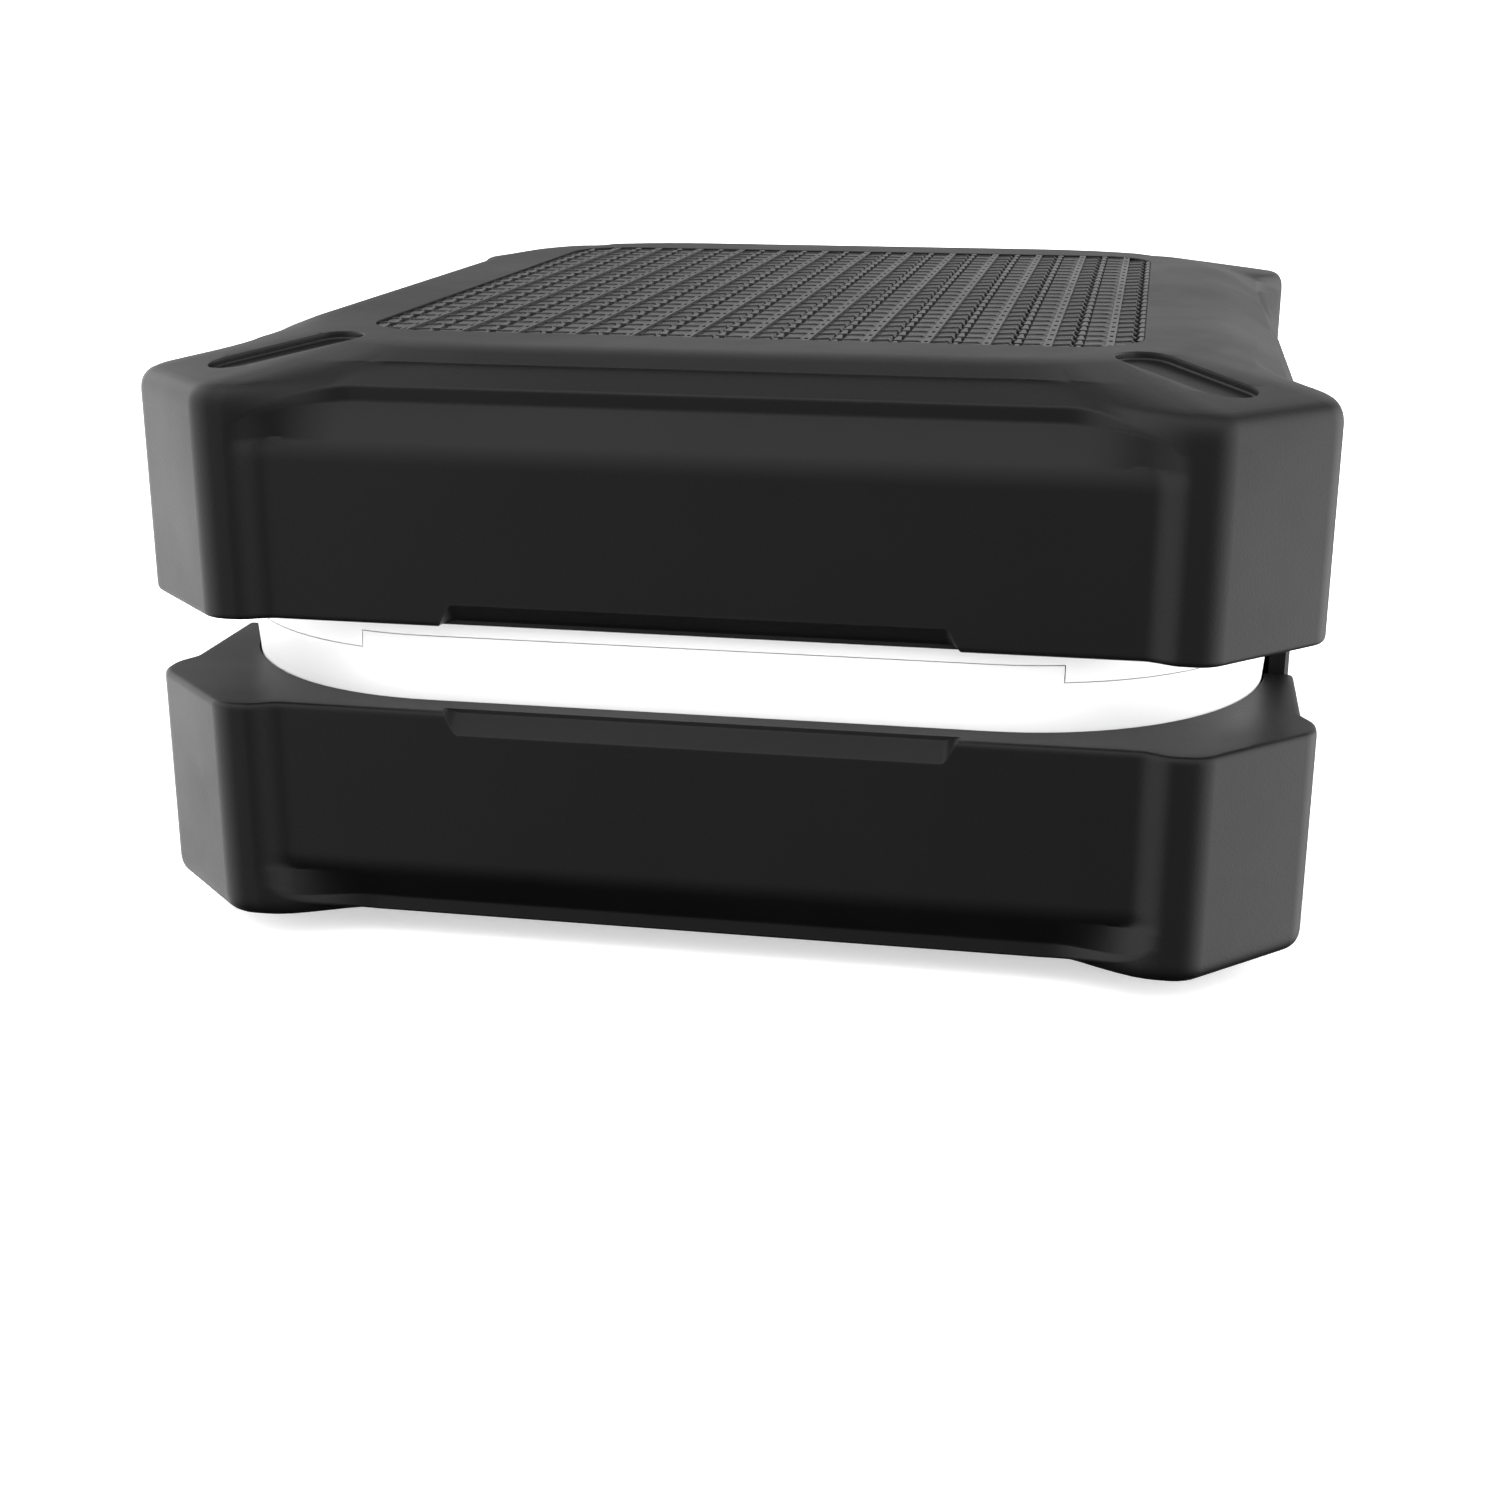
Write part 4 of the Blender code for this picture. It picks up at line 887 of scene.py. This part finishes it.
def rub_and_sheen_group():
    """A mask of convex edges, broken up by noise: rubbed edges on some finishes,
    and a painted highlight on the black case.
    """
    group, source, sink = new_group("rubbed edges and painted sheen", (
        ("Vector", "Vector", None), ("Radius", "Float", 0.0008),
        ("Break-up", "Float", 300.0)), (("Mask", "Float"),))
    bevel = group.nodes.new("ShaderNodeBevel")
    bevel.samples = 2
    group.links.new(source.outputs["Radius"], bevel.inputs["Radius"])
    normal = group.nodes.new("ShaderNodeNewGeometry")
    dot = group.nodes.new("ShaderNodeVectorMath")
    dot.operation = "DOT_PRODUCT"
    group.links.new(bevel.outputs["Normal"], dot.inputs[0])
    group.links.new(normal.outputs["Normal"], dot.inputs[1])
    edge = group.nodes.new("ShaderNodeMapRange")
    for label, number in (("From Min", 0.99), ("From Max", 0.80), ("To Max", 1.0)):
        edge.inputs[label].default_value = number
    group.links.new(dot.outputs["Value"], edge.inputs["Value"])
    noise = add_noise(group, source.outputs["Vector"], source.outputs["Break-up"])
    group.links.new(combine(group, "MULTIPLY", edge.outputs["Result"], noise),
                    sink.inputs["Mask"])
    return group


moulded_grain, slow_drift, rub_and_sheen_edges = grain_group(), drift_group(), rub_and_sheen_group()


# %% A finish: base shader, grain, drifting gloss and shade, rubbed edges, painted sheen
def use_group(tree, group, vector, **values):
    node = tree.nodes.new("ShaderNodeGroup")
    node.node_tree = group
    tree.links.new(vector, node.inputs["Vector"])
    for label, value in values.items():
        node.inputs[label.replace("_", " ")].default_value = value
    return node


def blend_colours(tree, mask, a, b):
    node = tree.nodes.new("ShaderNodeMix")
    node.data_type = "RGBA"
    tree.links.new(mask, node.inputs[0])
    for socket, value in ((node.inputs[6], a), (node.inputs[7], b)):
        if isinstance(value, tuple):
            socket.default_value = (*value, 1)
        else:
            tree.links.new(value, socket)
    return node.outputs[2]


def finish(name, colour, rough, grain=2500.0, strength=0.3, depth=0.00004,
           metallic=0.0, level=0.5, shade=0.85, rub_and_sheen_colour=None, stretch=(1, 1, 1)):
    """A procedural material. rough is its lowest and highest roughness."""
    material = bpy.data.materials.get(name) or bpy.data.materials.new(name)
    material.use_nodes = True
    tree = material.node_tree
    shader = tree.nodes["Principled BSDF"]
    shader.inputs["Metallic"].default_value = metallic
    shader.inputs["Specular IOR Level"].default_value = level
    place = tree.nodes.new("ShaderNodeMapping")
    place.inputs["Scale"].default_value = stretch
    tree.links.new(tree.nodes.new("ShaderNodeTexCoord").outputs["Object"],
                   place.inputs["Vector"])
    vector = place.outputs["Vector"]
    fine = use_group(tree, moulded_grain, vector, Scale=grain, Strength=strength,
                     Depth=depth)
    tree.links.new(fine.outputs["Normal"], shader.inputs["Normal"])
    drift = use_group(tree, slow_drift, vector, Scale=25.0, Low=rough[0], High=rough[1])
    tree.links.new(drift.outputs["Value"], shader.inputs["Roughness"])
    dark = tuple(c * shade for c in colour)
    tint = blend_colours(tree, drift.outputs["Fac"], colour, dark)
    # Convex edges get their own colour: rubbed on most finishes, a painted highlight on
    # the black case.
    if rub_and_sheen_colour:
        rub_and_sheen_mask = use_group(tree, rub_and_sheen_edges, vector)
        tint = blend_colours(tree, rub_and_sheen_mask.outputs["Mask"], tint, rub_and_sheen_colour)
    tree.links.new(tint, shader.inputs["Base Color"])
    return material


# %% Finishes of the case and the cloth
BLACK = (0.005, 0.005, 0.0053)
# The lighter colour on the case's convex edges is a painted highlight along them.
case_black = finish("moulded black case", BLACK, (0.40, 0.50), 2600, 0.35, level=0.12,
                    rub_and_sheen_colour=(0.014, 0.014, 0.0145))
bridge_black = finish("smooth black bridge", BLACK, (0.34, 0.44), 3500, 0.2, level=0.12)
finish("woven black tape", (0.016, 0.016, 0.0165), (0.36, 0.5), 3000, 0.5, 0.00006,
       level=0.5, shade=0.6, stretch=(0.35, 1, 1))
finish("dark backing cloth", (0.004, 0.004, 0.004), (0.75, 0.9), 1200, 0.8, 0.0001,
       level=0.1, shade=0.5)
rubber = finish("matt black rubber", (0.012, 0.012, 0.012), (0.75, 0.9), 1800, 0.6,
                0.00006, level=0.2, shade=0.7)

# %% Finishes of the node and of what is in it
white = finish("satin white housing", (0.88, 0.88, 0.88), (0.32, 0.42), 3200, 0.15,
               0.00002, shade=0.96, rub_and_sheen_colour=(0.8, 0.8, 0.79))
steel = finish("plated steel", (0.52, 0.52, 0.53), (0.22, 0.38), 1500, 0.2, metallic=1.0,
               shade=0.8, rub_and_sheen_colour=(0.7, 0.7, 0.7))
aluminium = finish("brushed aluminium", (0.68, 0.68, 0.7), (0.28, 0.45), 2400, 0.5,
                   metallic=1.0, shade=0.85, stretch=(1, 0.03, 1))
copper = finish("stamped copper alloy", (0.66, 0.38, 0.22), (0.25, 0.42), 1800, 0.3,
                metallic=1.0, shade=0.75, stretch=(1, 1, 0.1))
chip_black = finish("chip resin", (0.016, 0.016, 0.017), (0.45, 0.6), 5200, 0.5,
                    0.00003, shade=0.7)
dark_plastic = finish("dark switch plastic", (0.022, 0.022, 0.023), (0.35, 0.5), 3000,
                      0.25, shade=0.8, rub_and_sheen_colour=(0.05, 0.05, 0.05))
thermal = finish("grey thermal pad", (0.32, 0.34, 0.37), (0.75, 0.9), 900, 0.7, 0.0001,
                 level=0.2, shade=0.75)
lens = finish("milky lamp lens", (0.8, 0.83, 0.86), (0.1, 0.2), 2500, 0.05, shade=0.95)
lamp = finish("yellow lamp chip", (0.75, 0.62, 0.2), (0.3, 0.4), 2500, 0.2, shade=0.8)
gold = finish("gold contacts", (0.85, 0.62, 0.25), (0.15, 0.25), 2500, 0.1,
              metallic=1.0, shade=0.9)


def board_finish():
    """Solder mask over copper tracks: a brick pattern stands in for the routing."""
    material = finish("green circuit board", (0.012, 0.11, 0.045), (0.3, 0.42), 1500,
                      0.25, shade=0.75)
    tree = material.node_tree
    shader = tree.nodes["Principled BSDF"]
    tracks = tree.nodes.new("ShaderNodeTexBrick")
    for label, value in (("Scale", 260.0), ("Mortar Size", 0.03), ("Brick Width", 2.4),
                         ("Row Height", 0.3), ("Mortar Smooth", 0.1)):
        tracks.inputs[label].default_value = value
    place = next(node for node in tree.nodes if node.type == "MAPPING")
    tree.links.new(place.outputs["Vector"], tracks.inputs["Vector"])
    tint = shader.inputs["Base Color"].links[0].from_socket
    tree.links.new(blend_colours(tree, tracks.outputs["Fac"], tint, (0.03, 0.2, 0.08)),
                   shader.inputs["Base Color"])
    return material


board_green = board_finish()

# %% [markdown]
# ## Small repeated metal pieces
#
# The node is held together by four screws from below, and four more hold the
# board. Each is one turned piece with a six-sided socket, so it is modelled once
# and Geometry Nodes put it in all four places. The sockets for the network plugs
# each have eight gold contacts in a row, made the same way.

# %% One screw, head down, with a six-sided socket in its head
SHANK_RADIUS, HEAD_RADIUS, HEAD_HEIGHT = 1.5 * MM, 2.9 * MM, 2 * MM
THREAD_TURNS, THREAD_DEPTH = 9, 0.3 * MM


def screw_piece(length):
    """Head face at z = 0, and a threaded shank of the given length above it."""
    bm = bmesh.new()
    levels = [(HEAD_RADIUS - 0.35 * MM, 0), (HEAD_RADIUS, 0.3 * MM),
              (HEAD_RADIUS, HEAD_HEIGHT), (SHANK_RADIUS, HEAD_HEIGHT)]
    for i in range(THREAD_TURNS):
        z = HEAD_HEIGHT + 0.4 * MM + (length - 0.8 * MM) * i / THREAD_TURNS
        levels += [(SHANK_RADIUS, z), (SHANK_RADIUS - THREAD_DEPTH, z + 0.35 * MM)]
    levels.append((0.7 * MM, HEAD_HEIGHT + length))
    add_disc_stack(bm, 0, 0, levels, 24)
    obj = make_object("screw_piece", bm)
    bm = bmesh.new()
    add_disc_stack(bm, 0, 0, [(1.35 * MM, -1 * MM), (1.25 * MM, 0.1 * MM),
                              (1.2 * MM, 1.2 * MM)], 6)
    carve(obj, bm)
    obj.data.shade_smooth()
    obj.data.set_sharp_from_angle(angle=radians(35))
    return obj


def corners_tree():
    """Puts a piece on the four corners of a rectangle."""
    tree, source, sink = new_tree("repeat on four corners", (
        ("Piece", "Object"), ("Material", "Material"), ("Width", "Float"),
        ("Depth", "Float"), ("Height", "Float"), ("Flip", "Float")))
    grid = tree.nodes.new("GeometryNodeMeshGrid")
    grid.inputs["Vertices X"].default_value = 2
    grid.inputs["Vertices Y"].default_value = 2
    info = tree.nodes.new("GeometryNodeObjectInfo")
    place = tree.nodes.new("GeometryNodeInstanceOnPoints")
    turn = tree.nodes.new("ShaderNodeCombineXYZ")
    lift = tree.nodes.new("ShaderNodeCombineXYZ")
    move = tree.nodes.new("GeometryNodeTransform")
    for output, node, label in (("Width", grid, "Size X"), ("Depth", grid, "Size Y"),
                                ("Piece", info, "Object"), ("Flip", turn, "X"),
                                ("Height", lift, "Z")):
        tree.links.new(source.outputs[output], node.inputs[label])
    tree.links.new(grid.outputs["Mesh"], place.inputs["Points"])
    tree.links.new(info.outputs["Geometry"], place.inputs["Instance"])
    tree.links.new(turn.outputs["Vector"], place.inputs["Rotation"])
    tree.links.new(place.outputs["Instances"], move.inputs["Geometry"])
    tree.links.new(lift.outputs["Vector"], move.inputs["Translation"])
    finish_tree(tree, move.outputs["Geometry"], source, sink)
    return tree


repeat_on_corners = corners_tree()


def middle(name):
    low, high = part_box(name)
    return (low + high) / 2


def screw_set(name, first, length, flip):
    """Four screws where the CAD has them. flip is pi where the head is on top."""
    low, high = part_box(first)
    piece = screw_piece(length)
    spot = middle(first)
    result = grow(name, repeat_on_corners, {
        "Piece": piece, "Material": steel, "Width": 2 * abs(spot.x),
        "Depth": 2 * abs(spot.y), "Height": high.z if flip else low.z, "Flip": flip})
    bpy.data.objects.remove(piece)
    print(name, triangles(result), "triangles")
    return result


housing_screws = screw_set("housing_screws", "housing_screw_1", 14 * MM, 0.0)
board_screws = screw_set("board_screws", "board_screw_1", 8 * MM, pi)


# %% Eight gold contacts in each network socket
CONTACT_PATH = ((4, 0), (5, -0.5), (10.5, -3.2), (11, -3.0))  # (inwards, up), in mm
CONTACT_PITCH = 1.02 * MM


def contact_piece(jack):
    """A bent wire that slants down from the socket's ceiling."""
    low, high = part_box(jack)
    top, face = high.z - 2.5 * MM, low.x
    wide, thick = 0.18 * MM, 0.25 * MM
    section = ((-wide, -thick), (wide, -thick), (wide, 0), (-wide, 0))
    bm = bmesh.new()
    add_skin(bm, [[(face + x * MM, y, top + z * MM + t) for y, t in section]
                  for x, z in CONTACT_PATH])
    return make_object("contact_piece", bm)


contacts = []
for jack in ("ethernet_jack_1", "ethernet_jack_2"):
    piece = contact_piece(jack)
    row = grow(jack + "_contacts", repeat_on_grid, {
        "Piece": piece, "Material": gold, "Pitch X": 1 * MM, "Pitch Y": CONTACT_PITCH,
        "Count X": 1, "Count Y": 8})
    bpy.data.objects.remove(piece)
    row.data.transform(Matrix.Translation((0, middle(jack).y, 0)))
    contacts.append(row)
print("contacts:", triangles(contacts[0]), "triangles in each row")

# %% Finishes of the floor and the backdrop
def paper(name, glow):
    """Pale paper with a slow drift in its shade. glow lightens the shadows on it."""
    material = bpy.data.materials.new(name)
    material.use_nodes = True
    tree = material.node_tree
    shader = tree.nodes["Principled BSDF"]
    shader.inputs["Roughness"].default_value = 0.9
    shader.inputs["Specular IOR Level"].default_value = 0.1
    shader.inputs["Emission Color"].default_value = (1, 1, 1, 1)
    shader.inputs["Emission Strength"].default_value = glow
    place = tree.nodes.new("ShaderNodeTexCoord")
    drift = use_group(tree, slow_drift, place.outputs["Object"], Scale=3.0)
    tint = blend_colours(tree, drift.outputs["Fac"], (0.9, 0.9, 0.9), (0.88, 0.88, 0.88))
    tree.links.new(tint, shader.inputs["Base Color"])
    return material


floor.data.materials.append(paper("pale floor", 0.5))
backdrop.data.materials.append(paper("pale backdrop", 1.0))

# %% [markdown]
# ## Dressing the model
#
# The moulded pieces stand in for the CAD solids that they refine. The others,
# such as the board and the heat sink, keep their CAD shape and get a finish.

# %% Finishes on the CAD nodes that stay
NODE_FINISHES = {
    "side_bridge": bridge_black, "base_pad": rubber, "node_foot_front": rubber,
    "node_foot_back": rubber, "socket_panel": white, "main_board": board_green,
    "processor": chip_black, "thermal_pad": thermal, "heat_sink": aluminium,
    "shield_can_front": steel, "shield_can_back": steel,
    "antenna_right_front": copper, "antenna_right_back": copper,
    "antenna_front": copper, "antenna_back": copper, "ethernet_jack_1": steel,
    "ethernet_jack_2": steel, "power_inlet": steel, "reset_button": dark_plastic,
    "reset_switch": dark_plastic, "status_lens": lens, "status_led": lamp,
}
for name, material in NODE_FINISHES.items():
    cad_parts[name].material_slots[0].material = material
print("CAD nodes with a finish:", len(NODE_FINISHES))

# %% Finishes and bodies of the pieces made here, and the CAD nodes they hide
for obj in (upper, lower):
    obj.data.materials.append(case_black)
for obj in (node_lower, node_upper):
    obj.data.materials.append(white)
screws = [f"{kind}_screw_{i}" for kind in ("housing", "board") for i in range(1, 5)]
for piece, body, nodes, slot in (
        (upper, "case_top", ["upper_shell"], "case"),
        (lower, "case_bottom", ["lower_shell"], "case"),
        (node_lower, "node", ["node_lower_housing"], "node_white"),
        (node_upper, "node", ["node_upper_housing"], "node_white"),
        (weave, "case_top", ["top_panel"], "woven_panel"),
        (panel_backing, "case_top", [], "woven_panel"),
        (housing_screws, "node", screws[:4], "steel"),
        (board_screws, "node", screws[4:], "steel"),
        (contacts[0], "node", [], "steel"), (contacts[1], "node", [], "steel")):
    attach(piece, body)
    if nodes:
        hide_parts(*nodes)
